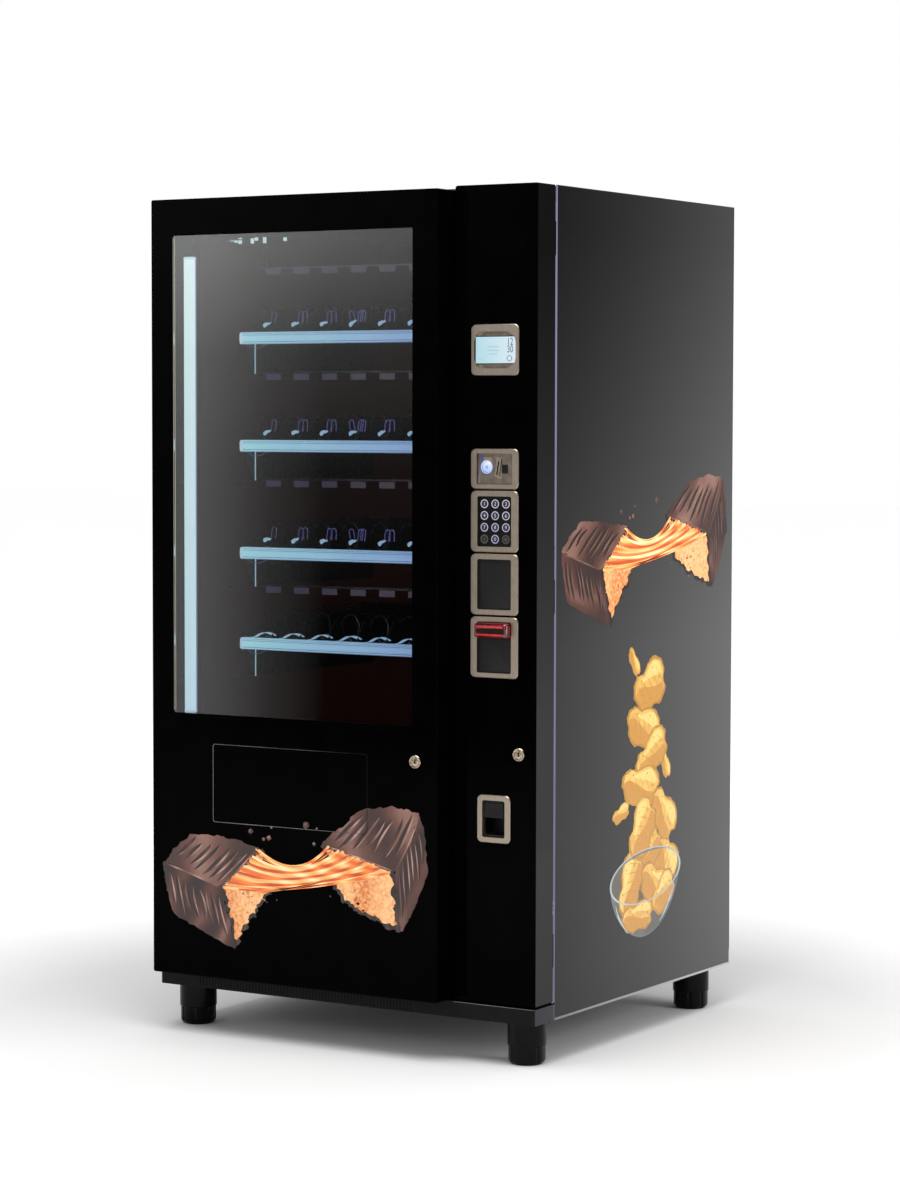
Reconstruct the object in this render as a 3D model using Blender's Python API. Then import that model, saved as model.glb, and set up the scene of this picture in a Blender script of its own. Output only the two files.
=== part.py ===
"""Snack vending machine: a chilled cabinet on four feet with a glass product door, a narrow payment door,
four pull-out spiral trays, a delivery bin and a cooling unit. Run it with blender --background --python
part.py, or from Blender's Text Editor. All sizes are in metres. X runs to the customer's right, Y to the
back and Z up, and the origin is on the floor under the middle of the machine."""

import math

import bmesh
import bpy
from mathutils import Vector

# Whole machine.
CABINET_WIDTH = 0.960
CABINET_HEIGHT = 1.830
OVERALL_DEPTH = 0.964
TOUCH_GAP = 0.0003
RUNNING_GAP = 0.0005
OVERLAP = 0.003
CUT_PAST = 0.010
SHARP_ANGLE = math.radians(35)

# Base: feet and plinth.
FOOT_HEIGHT = 0.092
FOOT_RADIUS = 0.0415
FOOT_TAPER = 0.0025
FOOT_CHAMFER = 0.008
FOOT_STEP_SHARES = (0.42, 0.44)
FOOT_LEFT_INSET = 0.0565
FOOT_RIGHT_INSET = 0.0545
FOOT_FRONT_INSET = 0.060
FOOT_REAR_INSET = 0.089
PLINTH_HEIGHT = 0.034
PLINTH_WALL = 0.100
PLINTH_LIP = 0.0048

# Cabinet walls and skins.
SKIN = 0.002
SIDE_PANEL_LIFT = 0.005
REAR_COVER = 0.003
REAR_COVER_MARGIN = 0.010
LOUVRE_ROWS = 7
LOUVRE_COLUMNS = (0.30, 0.70)
LOUVRE_WIDTH = 0.200
LOUVRE_OPEN_SHARE = 0.40
LOUVRE_ROUND_SHARE = 0.18
WALL_LEFT = 0.050
WALL_TOP = 0.058
WALL_REAR = 0.070
DIVIDER_WALL = 0.045
PAYMENT_WALL = 0.030
PAYMENT_ROOM_DEPTH = 0.450
PAYMENT_FLOOR = 0.035
BAY_FLOOR = 0.020
BAY_HEIGHT = 0.280
BAY_FRONT_WALL = 0.120
PRODUCT_ROOM_LOW_Z = 0.460
PAYMENT_ROOM_INSET = 0.010

# The two doors.
PRODUCT_DOOR_DEPTH = 0.134
PAYMENT_DOOR_DEPTH = 0.072
PAYMENT_DOOR_WIDTH = 0.199
DOOR_SPLIT = 0.003
DOOR_SEAL_GAP = 0.0085
DOOR_LIFT = 0.0035
PRODUCT_DOOR_DROP = 0.0085
PRODUCT_DOOR_MARGIN = 0.0225
DOOR_SKIN = 0.010
DOOR_WALL = 0.018
PAYMENT_SKIN = 0.005
PAYMENT_DOOR_WALL = 0.012
DOOR_EDGE_ROUND = 0.002

# Hinge rods: radius, bore clearance and where they stand.
PRODUCT_ROD = 0.005
PRODUCT_ROD_INSET = 0.011
PRODUCT_KNUCKLE = 0.0095
PRODUCT_KNUCKLE_INSET = 0.002
PAYMENT_ROD = 0.0016
PAYMENT_ROD_INSET = 0.0035
PAYMENT_KNUCKLE = 0.0030
ROD_CLEARANCE = 0.0003
KNUCKLE_HEIGHT = 0.070
KNUCKLE_COUNT = 3
KNUCKLE_END = 0.110
BRACKET_HEIGHT = 0.030
BRACKET_RISE = 0.090
BRACKET_SHARE = 0.8
KNUCKLE_WEB_SHARE = 0.9

# Window, glass, seal and lamp.
WINDOW_LEFT = 0.059
WINDOW_RIGHT = 0.062
WINDOW_TOP = 0.0785
WINDOW_SILL_Z = 0.706
WINDOW_CORNER = 0.004
WINDOW_CAVITY_MARGIN = 0.018
GLASS = 0.005
GLASS_SETBACK = 0.0015
GLASS_GAP = 0.0006
SEAL_WIDTH = 0.011
SEAL_INSET = 0.004
SEAL_INNER_CORNER = 0.0037
LAMP_WIDTH = 0.028
LAMP_DEPTH = 0.018
LAMP_LEFT = 0.0435
LAMP_SETBACK = 0.058
LAMP_TOP_DROP = 0.043
LAMP_FOOT_Z = 0.715
LAMP_CORNER = 0.0045
LAMP_CORNER_STEPS = 3

# Delivery flap and bin.
FLAP_WIDTH = 0.3935
FLAP_HEIGHT = 0.1645
FLAP_LEFT = 0.1665
FLAP_TOP_Z = 0.6395
FLAP_THICKNESS = 0.006
FLAP_SETBACK = 0.001
FLAP_CORNER = 0.004
FLAP_GAP = 0.0015
FLAP_PIN = 0.0016
FLAP_PIN_LENGTH = 0.010
FLAP_ROOM_MARGIN = 0.030
FLAP_PRODUCT_ROOM_LOW_Z = 0.465
BIN_HIGH_Z = 0.665
BIN_SIDE_GAP = 0.015
BIN_DEPTH = 0.230
BIN_SETBACK = 0.004
BIN_SHEET = 0.002
BIN_LIP = 0.022
BIN_SLOPE = 0.050

# Trays, price rails and spirals.
TRAY_LEVELS = 4
TRAY_FRONT = 0.1080
TRAY_DEPTH = 0.550
TRAY_SHEET = 0.002
TRAY_SIDE_GAP = 0.031
TRAY_HANG_SHARE = 0.6154
TRAY_HANG_SETBACK = 0.050
TRAY_UPSTAND = 0.030
TRAY_FLOOR_DROP = 0.012
TRAY_DIVIDER_HEIGHT = 0.055
TRAY_DIVIDER_RAKE = 0.040
TRAY_COLUMNS = 8
TRAY_MOTOR_DEPTH = 0.060
TRAY_MOTOR_HEIGHT = 0.065
TOP_RAIL_DROP = 0.203
LOW_RAIL_RISE = 0.151
LOW_LEVEL_SHARE = 0.2972
LEDGE_HEIGHT = 0.008
LEDGE_ROOT = 0.012
LEDGE_REACH = 0.003
RAIL_HEIGHT = 0.027
RAIL_DEPTH = 0.012
RAIL_CORNER = 0.009
RAIL_FACE_BEVEL = 0.003
SPIRAL_WIRE = 0.0021
SPIRAL_SIDE_GAP = 0.003
SPIRAL_FLOOR_GAP = 0.003
SPIRAL_TURNS = 8
SPIRAL_STEPS = 10
SPIRAL_START = math.radians(-45)
SPIRAL_SIDES = 4
SPIRAL_FRONT_SETBACK = 0.024
SPIRAL_TAIL = 0.020
# Way in to the axis and way back along the tail, as shares.
SPIRAL_TAIL_BEND = ((0.55, 0.15), (0.97, 0.45))

# Cooling unit, inside the bay under the product room.
UNIT_GAP = 0.020
UNIT_TRAY = 0.012
COMPRESSOR_RADIUS = 0.085
COMPRESSOR_HEIGHT = 0.190
# Shares of the compressor's radius and height, from its foot to its crown.
COMPRESSOR_PROFILE = ((1.0, 0.62), (0.92, 0.82), (0.62, 0.96), (0.25, 1.0))
CONDENSER_DEPTH = 0.070
CONDENSER_HEIGHT = 0.230
CONDENSER_WIDTH = 0.300

# Payment modules: one column down the middle of the payment door.
BEZEL_WIDTH = 0.1145
BEZEL_CORNER = 0.011
BEZEL_PROUD = 0.005
BEZEL_EDGE = 0.0015
BEZEL_RECESS = 0.006
MODULE_BODY_INSET = 0.010
MODULE_BODY_DEPTH = 0.045
MODULE_BODY_CORNER = 0.002
MODULE_GAP = 0.003
DISPLAY_DROP = 0.2872
DISPLAY_HEIGHT = 0.106
DISPLAY_OPENING = (0.100, 0.076)
DISPLAY_CORNER = 0.022
SCREEN_SIZE = (0.088, 0.055)
SCREEN_THICKNESS = 0.003
SCREEN_CORNER = 0.006
COIN_TOP_DROP = 0.5437
COIN_HEIGHT = 0.0836
COIN_OPENING = (0.0856, 0.0648)
COIN_OPENING_CORNER = 0.003
COIN_BAR = (0.010, 0.038)
COIN_BAR_CORNER = 0.0035
COIN_BAR_PROUD = 0.004
COIN_BAR_TILT = math.radians(10)
COIN_BAR_OFFSET = (0.0071, 0.0020)
COIN_SLOT = (0.0032, 0.028)
COIN_SLOT_DEPTH = 0.030
BUTTON_OFFSET = (-0.0213, 0.0036)
BUTTON_RADIUS = 0.0105
BUTTON_PROUD = 0.0015
BUTTON_TRAVEL_ROOM = 0.004
BUTTON_LENGTH = 0.010
BUTTON_EDGE_SHARE = 0.08
TALL_MODULE = 0.1275
TALL_OPENING = (0.0812, 0.1045)
TALL_OPENING_CORNER = 0.004
KEY_RADIUS = 0.0098
KEY_GAP = 0.0006
KEY_PITCH_X = 0.0258
KEY_PITCH_Z = 0.0244
KEY_PROUD = 0.002
KEY_LENGTH = 0.006
KEY_COLUMNS = 3
KEY_NAMES = ("1", "2", "3", "4", "5", "6", "7", "8", "9", "info", "0", "enter")
NOTE_OPENING = (0.0822, 0.1067)
SNOUT_SIZE = (0.080, 0.031)
SNOUT_PROUD = 0.022
SNOUT_RISE = 0.0359
SNOUT_TAPER = 0.004
SNOUT_NOSE = 0.006
SNOUT_CORNER = 0.005
SNOUT_FRONT_CORNER = 0.004
SNOUT_SLOT = (0.066, 0.0055)
SNOUT_SLOT_DEPTH = 0.018
RETURN_WIDTH = 0.080
RETURN_HEIGHT = 0.1004
RETURN_DROP = 0.2937
RETURN_OPENING = (0.0541, 0.0774)
RETURN_CUP = (0.046, 0.068)
RETURN_CUP_DEPTH = 0.040
RETURN_CUP_CORNER = 0.003
RETURN_FLAP_HEIGHT = 0.030
RETURN_FLAP_THICKNESS = 0.002
RETURN_FLAP_SETBACK = 0.004
CHANGER_SIZE = (0.120, 0.080, 0.380)
CHANGER_TOP_DROP = 0.480
CHANGER_SETBACK = 0.040

# Locks: a round cylinder with a key slot, through a bore in the door's skin.
LOCK_RADIUS = 0.0142
LOCK_GAP = 0.0004
LOCK_PROUD = 0.004
LOCK_LENGTH = 0.030
LOCK_BEVEL = 0.0012
KEY_SLOT = (0.0024, 0.010)
KEY_SLOT_DEPTH = 0.006
PRODUCT_LOCK_RIGHT = 0.0527
PRODUCT_LOCK_Z = 0.6337
PAYMENT_LOCK_RIGHT = 0.0411
PAYMENT_LOCK_DROP = 0.1560

# Number of points round a turned piece, by how large it is.
FINE_ROUND = 24
COARSE_ROUND = 16
BORE_ROUND = 16
CORNER_STEPS = 4
FEW_STEPS = 2
FLAP_NOSE_STEPS = 6
RETURN_NOSE_STEPS = 4

# Finishes: colour, roughness, metallic and alpha.
FINISHES = {
    "black gloss door": ((0.004, 0.004, 0.005), 0.08, 0.0, 1.0),
    "dark grey powder coat": ((0.030, 0.030, 0.031), 0.42, 0.0, 1.0),
    "dark liner": ((0.020, 0.017, 0.017), 0.55, 0.0, 1.0),
    "plinth paint": ((0.018, 0.018, 0.020), 0.45, 0.0, 1.0),
    "black foot plastic": ((0.005, 0.005, 0.005), 0.25, 0.0, 1.0),
    "zinc plated steel": ((0.45, 0.45, 0.46), 0.38, 1.0, 1.0),
    "lit rail plastic": ((0.45, 0.70, 0.85), 0.30, 0.0, 1.0),
    "champagne metal": ((0.30, 0.25, 0.20), 0.35, 1.0, 1.0),
    "black moulded plastic": ((0.012, 0.012, 0.013), 0.40, 0.0, 1.0),
    "red clear plastic": ((0.55, 0.01, 0.01), 0.15, 0.0, 1.0),
    "nickel": ((0.55, 0.48, 0.40), 0.25, 1.0, 1.0),
    "window glass": ((0.85, 0.90, 0.90), 0.02, 0.0, 0.35),
    "screen": ((0.70, 0.80, 0.85), 0.15, 0.0, 1.0),
    "seal rubber": ((0.015, 0.015, 0.015), 0.70, 0.0, 1.0),
}

# Planes and edges that follow from the sizes above.
LEFT_X = -CABINET_WIDTH / 2
RIGHT_X = CABINET_WIDTH / 2
FRONT_Y = -OVERALL_DEPTH / 2 + LOCK_PROUD
REAR_Y = OVERALL_DEPTH / 2
DOOR_BACK_Y = FRONT_Y + PRODUCT_DOOR_DEPTH
BODY_FRONT_Y = DOOR_BACK_Y + DOOR_SEAL_GAP
PAYMENT_FRONT_Y = DOOR_BACK_Y - PAYMENT_DOOR_DEPTH
BODY_REAR_Y = REAR_Y - REAR_COVER - TOUCH_GAP
PLINTH_TOP_Z = FOOT_HEIGHT + PLINTH_HEIGHT
DOOR_LOW_Z = PLINTH_TOP_Z + DOOR_LIFT
PRODUCT_DOOR_TOP_Z = CABINET_HEIGHT - PRODUCT_DOOR_DROP
PAYMENT_LEFT_X = RIGHT_X - PAYMENT_DOOR_WIDTH
PRODUCT_LEFT_X = LEFT_X + PRODUCT_DOOR_MARGIN
PRODUCT_RIGHT_X = PAYMENT_LEFT_X - DOOR_SPLIT
MODULE_X = (PAYMENT_LEFT_X + RIGHT_X) / 2
ROOM_LEFT_X = LEFT_X + SKIN + WALL_LEFT
PAYMENT_ROOM_LEFT_X = PAYMENT_LEFT_X + PAYMENT_ROOM_INSET
ROOM_RIGHT_X = PAYMENT_ROOM_LEFT_X - DIVIDER_WALL
PAYMENT_ROOM_RIGHT_X = RIGHT_X - SKIN - PAYMENT_WALL
ROOM_HIGH_Z = CABINET_HEIGHT - WALL_TOP
ROOM_REAR_Y = BODY_REAR_Y - WALL_REAR
WINDOW_LEFT_X = PRODUCT_LEFT_X + WINDOW_LEFT
WINDOW_RIGHT_X = PRODUCT_RIGHT_X - WINDOW_RIGHT
WINDOW_TOP_Z = PRODUCT_DOOR_TOP_Z - WINDOW_TOP
BAY_LOW_Z = PLINTH_TOP_Z + BAY_FLOOR
BAY_HIGH_Z = BAY_LOW_Z + BAY_HEIGHT
BAY_FRONT_Y = BODY_FRONT_Y + BAY_FRONT_WALL
PRODUCT_AXIS = Vector((LEFT_X + PRODUCT_ROD_INSET, DOOR_BACK_Y - PRODUCT_KNUCKLE - PRODUCT_KNUCKLE_INSET, 0))
PAYMENT_AXIS = Vector((RIGHT_X - PAYMENT_ROD_INSET, DOOR_BACK_Y + PAYMENT_KNUCKLE, 0))
TRAY_LEFT_X = ROOM_LEFT_X + TRAY_SIDE_GAP
TRAY_RIGHT_X = ROOM_RIGHT_X - TRAY_SIDE_GAP
TRAY_FRONT_Y = BODY_FRONT_Y + TRAY_FRONT
TOP_RAIL_Z = WINDOW_TOP_Z - TOP_RAIL_DROP
LOW_RAIL_Z = WINDOW_SILL_Z + LOW_RAIL_RISE
LOW_LEVEL_SPACING = (TOP_RAIL_Z - LOW_RAIL_Z) * LOW_LEVEL_SHARE
TRAY_HANG = (LOW_LEVEL_SPACING - TRAY_MOTOR_HEIGHT - LEDGE_HEIGHT) * TRAY_HANG_SHARE
COLUMN_PITCH = (TRAY_RIGHT_X - TRAY_LEFT_X - TRAY_SHEET) / TRAY_COLUMNS


# Outlines and solids.
def rectangle(width, height):
    """Four corners about the middle, anticlockwise."""
    a, b = width / 2, height / 2
    return [(a, b), (-a, b), (-a, -b), (a, -b)]


def rounded(width, height, radius, steps=CORNER_STEPS):
    """A rectangle with round corners about the middle, anticlockwise."""
    points = []
    for corner, (side_a, side_b) in enumerate(((1, 1), (-1, 1), (-1, -1), (1, -1))):
        for step in range(steps + 1):
            angle = (corner + step / steps) * math.pi / 2
            a = side_a * (width / 2 - radius) + radius * math.cos(angle)
            b = side_b * (height / 2 - radius) + radius * math.sin(angle)
            points.append((a, b))
    return points


def circle(radius, count):
    """Points round a circle, anticlockwise."""
    turns = [2 * math.pi * (index + 0.5) / count for index in range(count)]
    return [(radius * math.cos(turn), radius * math.sin(turn)) for turn in turns]


def half_round(radius, steps):
    """Points over the upper half of a circle, anticlockwise."""
    turns = [math.pi * step / steps for step in range(steps + 1)]
    return [(radius * math.cos(turn), radius * math.sin(turn)) for turn in turns]


def turned_by(outline, angle):
    """An outline turned about its middle."""
    c, s = math.cos(angle), math.sin(angle)
    return [(a * c - b * s, a * s + b * c) for a, b in outline]


def facing_front(outline, y, x=0.0, z=0.0):
    """An outline in the plane of the doors, middle at (x, z)."""
    return [(x + a, y, z + b) for a, b in outline]


def lying_flat(outline, z, x=0.0, y=0.0):
    """An outline in a level plane, middle at (x, y)."""
    return [(x + a, y + b, z) for a, b in outline]


def facing_side(outline, x, y=0.0, z=0.0):
    """An outline in a plane across the machine, middle at (y, z)."""
    return [(x, y + a, z + b) for a, b in outline]


def loft(loops, ring=False):
    """A closed solid through loops of equal length: capped at both ends, or joined round as a ring."""
    shape = bmesh.new()
    rows = [[shape.verts.new(point) for point in loop] for loop in loops]
    pairs = list(zip(rows, rows[1:]))
    if ring:
        pairs.append((rows[-1], rows[0]))
    else:
        shape.faces.new(rows[0])
        shape.faces.new(rows[-1])
    for row, following in pairs:
        for index in range(len(row)):
            after = (index + 1) % len(row)
            shape.faces.new((row[index], row[after], following[after], following[index]))
    bmesh.ops.recalc_face_normals(shape, faces=shape.faces)
    return shape


def block(low, high):
    """A box between two corners."""
    middle_x, middle_y = (low[0] + high[0]) / 2, (low[1] + high[1]) / 2
    base = rectangle(high[0] - low[0], high[1] - low[1])
    return loft([lying_flat(base, low[2], middle_x, middle_y), lying_flat(base, high[2], middle_x, middle_y)])


def joined(shapes):
    """Several separate shapes in one, for a cutter that cuts many holes."""
    first = shapes[0]
    for shape in shapes[1:]:
        spare = bpy.data.meshes.new("spare")
        shape.to_mesh(spare)
        first.from_mesh(spare)
        shape.free()
        bpy.data.meshes.remove(spare)
    return first


def swept(path, radius, sides):
    """A round wire along a path, with flat ends."""
    loops = []
    across = Vector((1, 0, 0))
    for index, point in enumerate(path):
        before = path[max(index - 1, 0)]
        after = path[min(index + 1, len(path) - 1)]
        ahead = (after - before).normalized()
        across = (across - ahead * across.dot(ahead)).normalized()
        other = ahead.cross(across)
        loops.append([point + across * a + other * b for a, b in circle(radius, sides)])
    return loft(loops)


# Objects.
def finish_of(name):
    colour, roughness, metallic, alpha = FINISHES[name]
    made = bpy.data.materials.new(name)
    made.use_nodes = True
    shader = made.node_tree.nodes["Principled BSDF"]
    shader.inputs["Base Color"].default_value = (*colour, 1.0)
    shader.inputs["Roughness"].default_value = roughness
    shader.inputs["Metallic"].default_value = metallic
    shader.inputs["Alpha"].default_value = alpha
    return made


def world_place(thing):
    place = Vector((0, 0, 0))
    while thing:
        place += thing.location
        thing = thing.parent
    return place


def place(thing, origin, parent):
    """Puts an object's own origin at a world point, under its parent."""
    thing.parent = parent
    thing.location = Vector(origin) - world_place(parent)
    bpy.context.scene.collection.objects.link(thing)


def piece(name, shape, finish, origin=(0, 0, 0), parent=None):
    """A sub-part from a shape in world coordinates, with its own origin and material."""
    bmesh.ops.translate(shape, verts=shape.verts, vec=-Vector(origin))
    mesh = bpy.data.meshes.new(name)
    shape.to_mesh(mesh)
    shape.free()
    mesh.materials.append(finish)
    mesh.shade_smooth()
    mesh.set_sharp_from_angle(angle=SHARP_ANGLE)
    made = bpy.data.objects.new(name, mesh)
    place(made, origin, parent)
    return made


def combine(target, operation, shape):
    """A Boolean modifier with a hidden helper, whose shape is in world coordinates."""
    name = f"{target.name}_{operation.lower()}_{len(target.modifiers) + 1}"
    mesh = bpy.data.meshes.new(name)
    shape.to_mesh(mesh)
    shape.free()
    helper = bpy.data.objects.new(name, mesh)
    helper.hide_render = True
    helper.display_type = "WIRE"
    place(helper, (0, 0, 0), target)
    modifier = target.modifiers.new(name, "BOOLEAN")
    modifier.operation = operation
    modifier.solver = "EXACT"
    modifier.object = helper


def pivot(name, point):
    """An empty on a door's hinge axis, which the door and what it carries hang on."""
    made = bpy.data.objects.new(name, None)
    place(made, point, None)
    return made


def upright(radius, low_z, high_z, x, y, count=COARSE_ROUND):
    """A vertical cylinder."""
    round_outline = circle(radius, count)
    return loft([lying_flat(round_outline, low_z, x, y), lying_flat(round_outline, high_z, x, y)])


def pointing_back(radius, front_y, back_y, x, z, count=COARSE_ROUND):
    """A cylinder along Y."""
    round_outline = circle(radius, count)
    return loft([facing_front(round_outline, front_y, x, z), facing_front(round_outline, back_y, x, z)])


# Base.
def make_feet(finish):
    plinth_front = PAYMENT_FRONT_Y + FOOT_FRONT_INSET
    spots = {
        "foot_front_left": (LEFT_X + FOOT_LEFT_INSET, plinth_front),
        "foot_front_right": (RIGHT_X - FOOT_RIGHT_INSET, plinth_front),
        "foot_rear_left": (LEFT_X + FOOT_LEFT_INSET, REAR_Y - FOOT_REAR_INSET),
        "foot_rear_right": (RIGHT_X - FOOT_RIGHT_INSET, REAR_Y - FOOT_REAR_INSET),
    }
    low_radius = FOOT_RADIUS - FOOT_TAPER
    profile = (
        (low_radius - FOOT_CHAMFER, 0),
        (low_radius, FOOT_CHAMFER),
        (low_radius, FOOT_HEIGHT * FOOT_STEP_SHARES[0]),
        (FOOT_RADIUS, FOOT_HEIGHT * FOOT_STEP_SHARES[1]),
        (FOOT_RADIUS, FOOT_HEIGHT - TOUCH_GAP),
    )
    for name, (x, y) in spots.items():
        loops = [lying_flat(circle(radius, FINE_ROUND), z, x, y) for radius, z in profile]
        piece(name, loft(loops), finish, (x, y, 0))


def make_plinth(finish):
    middle_y = (PAYMENT_FRONT_Y + REAR_Y) / 2
    depth = REAR_Y - PAYMENT_FRONT_Y
    outer = rectangle(CABINET_WIDTH, depth)
    inner = rectangle(CABINET_WIDTH - 2 * PLINTH_WALL, depth - 2 * PLINTH_WALL)
    loops = (
        lying_flat(outer, FOOT_HEIGHT, 0, middle_y),
        lying_flat(outer, PLINTH_TOP_Z, 0, middle_y),
        lying_flat(inner, PLINTH_TOP_Z, 0, middle_y),
        lying_flat(inner, FOOT_HEIGHT, 0, middle_y),
    )
    plinth = piece("plinth", loft(loops, ring=True), finish)
    step_z = FOOT_HEIGHT + PLINTH_LIP
    cut = SKIN + TOUCH_GAP
    skins = []
    for inner_x, outer_x in ((LEFT_X + cut, LEFT_X - cut), (RIGHT_X - cut, RIGHT_X + cut)):
        low = (min(inner_x, outer_x), BODY_FRONT_Y - TOUCH_GAP, step_z)
        high = (max(inner_x, outer_x), REAR_Y + CUT_PAST, PLINTH_TOP_Z + CUT_PAST)
        skins.append(block(low, high))
    combine(plinth, "DIFFERENCE", joined(skins))


# Cabinet.
def make_cabinet(finish):
    low = (LEFT_X + SKIN + TOUCH_GAP, BODY_FRONT_Y, PLINTH_TOP_Z + TOUCH_GAP)
    high = (RIGHT_X - SKIN - TOUCH_GAP, BODY_REAR_Y, CABINET_HEIGHT)
    cabinet = piece("cabinet", block(low, high), finish)
    before_front = BODY_FRONT_Y - CUT_PAST
    product_room = block(
        (ROOM_LEFT_X, before_front, PRODUCT_ROOM_LOW_Z),
        (ROOM_RIGHT_X, ROOM_REAR_Y, ROOM_HIGH_Z),
    )
    payment_room = block(
        (PAYMENT_ROOM_LEFT_X, before_front, PLINTH_TOP_Z + PAYMENT_FLOOR),
        (PAYMENT_ROOM_RIGHT_X, BODY_FRONT_Y + PAYMENT_ROOM_DEPTH, CABINET_HEIGHT - PAYMENT_WALL),
    )
    bay = block((ROOM_LEFT_X, BAY_FRONT_Y, BAY_LOW_Z), (ROOM_RIGHT_X, BODY_REAR_Y + CUT_PAST, BAY_HIGH_Z))
    combine(cabinet, "DIFFERENCE", joined([product_room, payment_room, bay]))
    ledges = []
    for rail_top in rail_tops():
        ledge_top = rail_top - TRAY_FLOOR_DROP - TRAY_HANG - TOUCH_GAP
        ends = (
            (ROOM_LEFT_X - LEDGE_ROOT, TRAY_LEFT_X + LEDGE_REACH),
            (TRAY_RIGHT_X - LEDGE_REACH, ROOM_RIGHT_X + LEDGE_ROOT),
        )
        for low_x, high_x in ends:
            low = (low_x, TRAY_FRONT_Y, ledge_top - LEDGE_HEIGHT)
            high = (high_x, TRAY_FRONT_Y + TRAY_DEPTH, ledge_top)
            ledges.append(block(low, high))
    combine(cabinet, "UNION", joined(ledges))


def make_side_panels(finish):
    low_z = FOOT_HEIGHT + SIDE_PANEL_LIFT
    for name, low_x in (("side_panel_left", LEFT_X), ("side_panel_right", RIGHT_X - SKIN)):
        low = (low_x, BODY_FRONT_Y, low_z)
        high = (low_x + SKIN, REAR_Y - REAR_COVER - TOUCH_GAP, CABINET_HEIGHT)
        piece(name, block(low, high), finish)


def make_rear_cover(finish):
    low = (LEFT_X, REAR_Y - REAR_COVER, PLINTH_TOP_Z + TOUCH_GAP)
    cover = piece("rear_cover", block(low, (RIGHT_X, REAR_Y, CABINET_HEIGHT)), finish)
    louvres = []
    pitch = (BAY_HEIGHT - 2 * REAR_COVER_MARGIN) / LOUVRE_ROWS
    slot = rounded(LOUVRE_WIDTH, pitch * LOUVRE_OPEN_SHARE, pitch * LOUVRE_ROUND_SHARE, FEW_STEPS)
    for share in LOUVRE_COLUMNS:
        middle = ROOM_LEFT_X + (ROOM_RIGHT_X - ROOM_LEFT_X) * share
        for row in range(LOUVRE_ROWS):
            z = BAY_LOW_Z + REAR_COVER_MARGIN + (row + 0.5) * pitch
            back, front = REAR_Y + CUT_PAST, REAR_Y - REAR_COVER - CUT_PAST
            louvres.append(loft([facing_front(slot, front, middle, z), facing_front(slot, back, middle, z)]))
    combine(cover, "DIFFERENCE", joined(louvres))


def make_cooling_unit(finish):
    low_x, high_x = ROOM_LEFT_X + UNIT_GAP, ROOM_RIGHT_X - UNIT_GAP
    low_y, high_y = BAY_FRONT_Y + UNIT_GAP, BODY_REAR_Y - UNIT_GAP
    low_z = BAY_LOW_Z + TOUCH_GAP
    tray_top = low_z + UNIT_TRAY
    unit = piece("cooling_unit", block((low_x, low_y, low_z), (high_x, high_y, tray_top)), finish)
    x = high_x - COMPRESSOR_RADIUS - UNIT_GAP
    y = (low_y + high_y) / 2
    shell = [lying_flat(circle(COMPRESSOR_RADIUS, FINE_ROUND), tray_top - OVERLAP, x, y)]
    for share, rise in COMPRESSOR_PROFILE:
        outline = circle(COMPRESSOR_RADIUS * share, FINE_ROUND)
        shell.append(lying_flat(outline, tray_top + COMPRESSOR_HEIGHT * rise, x, y))
    combine(unit, "UNION", loft(shell))
    coil_low = (low_x + UNIT_GAP, high_y - UNIT_GAP - CONDENSER_DEPTH, tray_top - OVERLAP)
    coil_high = (low_x + UNIT_GAP + CONDENSER_WIDTH, high_y - UNIT_GAP, tray_top + CONDENSER_HEIGHT)
    combine(unit, "UNION", block(coil_low, coil_high))


# Delivery bin.
def make_delivery_bin(finish):
    low_x, high_x = ROOM_LEFT_X + BIN_SIDE_GAP, ROOM_RIGHT_X - BIN_SIDE_GAP
    low_y = BODY_FRONT_Y + BIN_SETBACK
    high_y = low_y + BIN_DEPTH
    low_z = PRODUCT_ROOM_LOW_Z + TOUCH_GAP
    bin_box = piece("delivery_bin", block((low_x, low_y, low_z), (high_x, high_y, BIN_HIGH_Z)), finish)
    hollow = [
        (low_y + BIN_SHEET, low_z + BIN_SHEET),
        (high_y - BIN_SHEET, low_z + BIN_SLOPE),
        (high_y - BIN_SHEET, BIN_HIGH_Z + CUT_PAST),
        (low_y - CUT_PAST, BIN_HIGH_Z + CUT_PAST),
        (low_y - CUT_PAST, low_z + BIN_LIP),
        (low_y + BIN_SHEET, low_z + BIN_LIP),
    ]
    left, right = low_x + BIN_SHEET, high_x - BIN_SHEET
    combine(bin_box, "DIFFERENCE", loft([facing_side(hollow, left), facing_side(hollow, right)]))


# Trays.
def rail_tops():
    """Heights of the price rails' top edges, from the top tray down."""
    upper_spacing = (TOP_RAIL_Z - LOW_RAIL_Z - LOW_LEVEL_SPACING) / (TRAY_LEVELS - 2)
    return [TOP_RAIL_Z - index * upper_spacing for index in range(TRAY_LEVELS - 1)] + [LOW_RAIL_Z]


def column_x(column):
    return TRAY_LEFT_X + TRAY_SHEET / 2 + COLUMN_PITCH * (column + 0.5)


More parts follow.
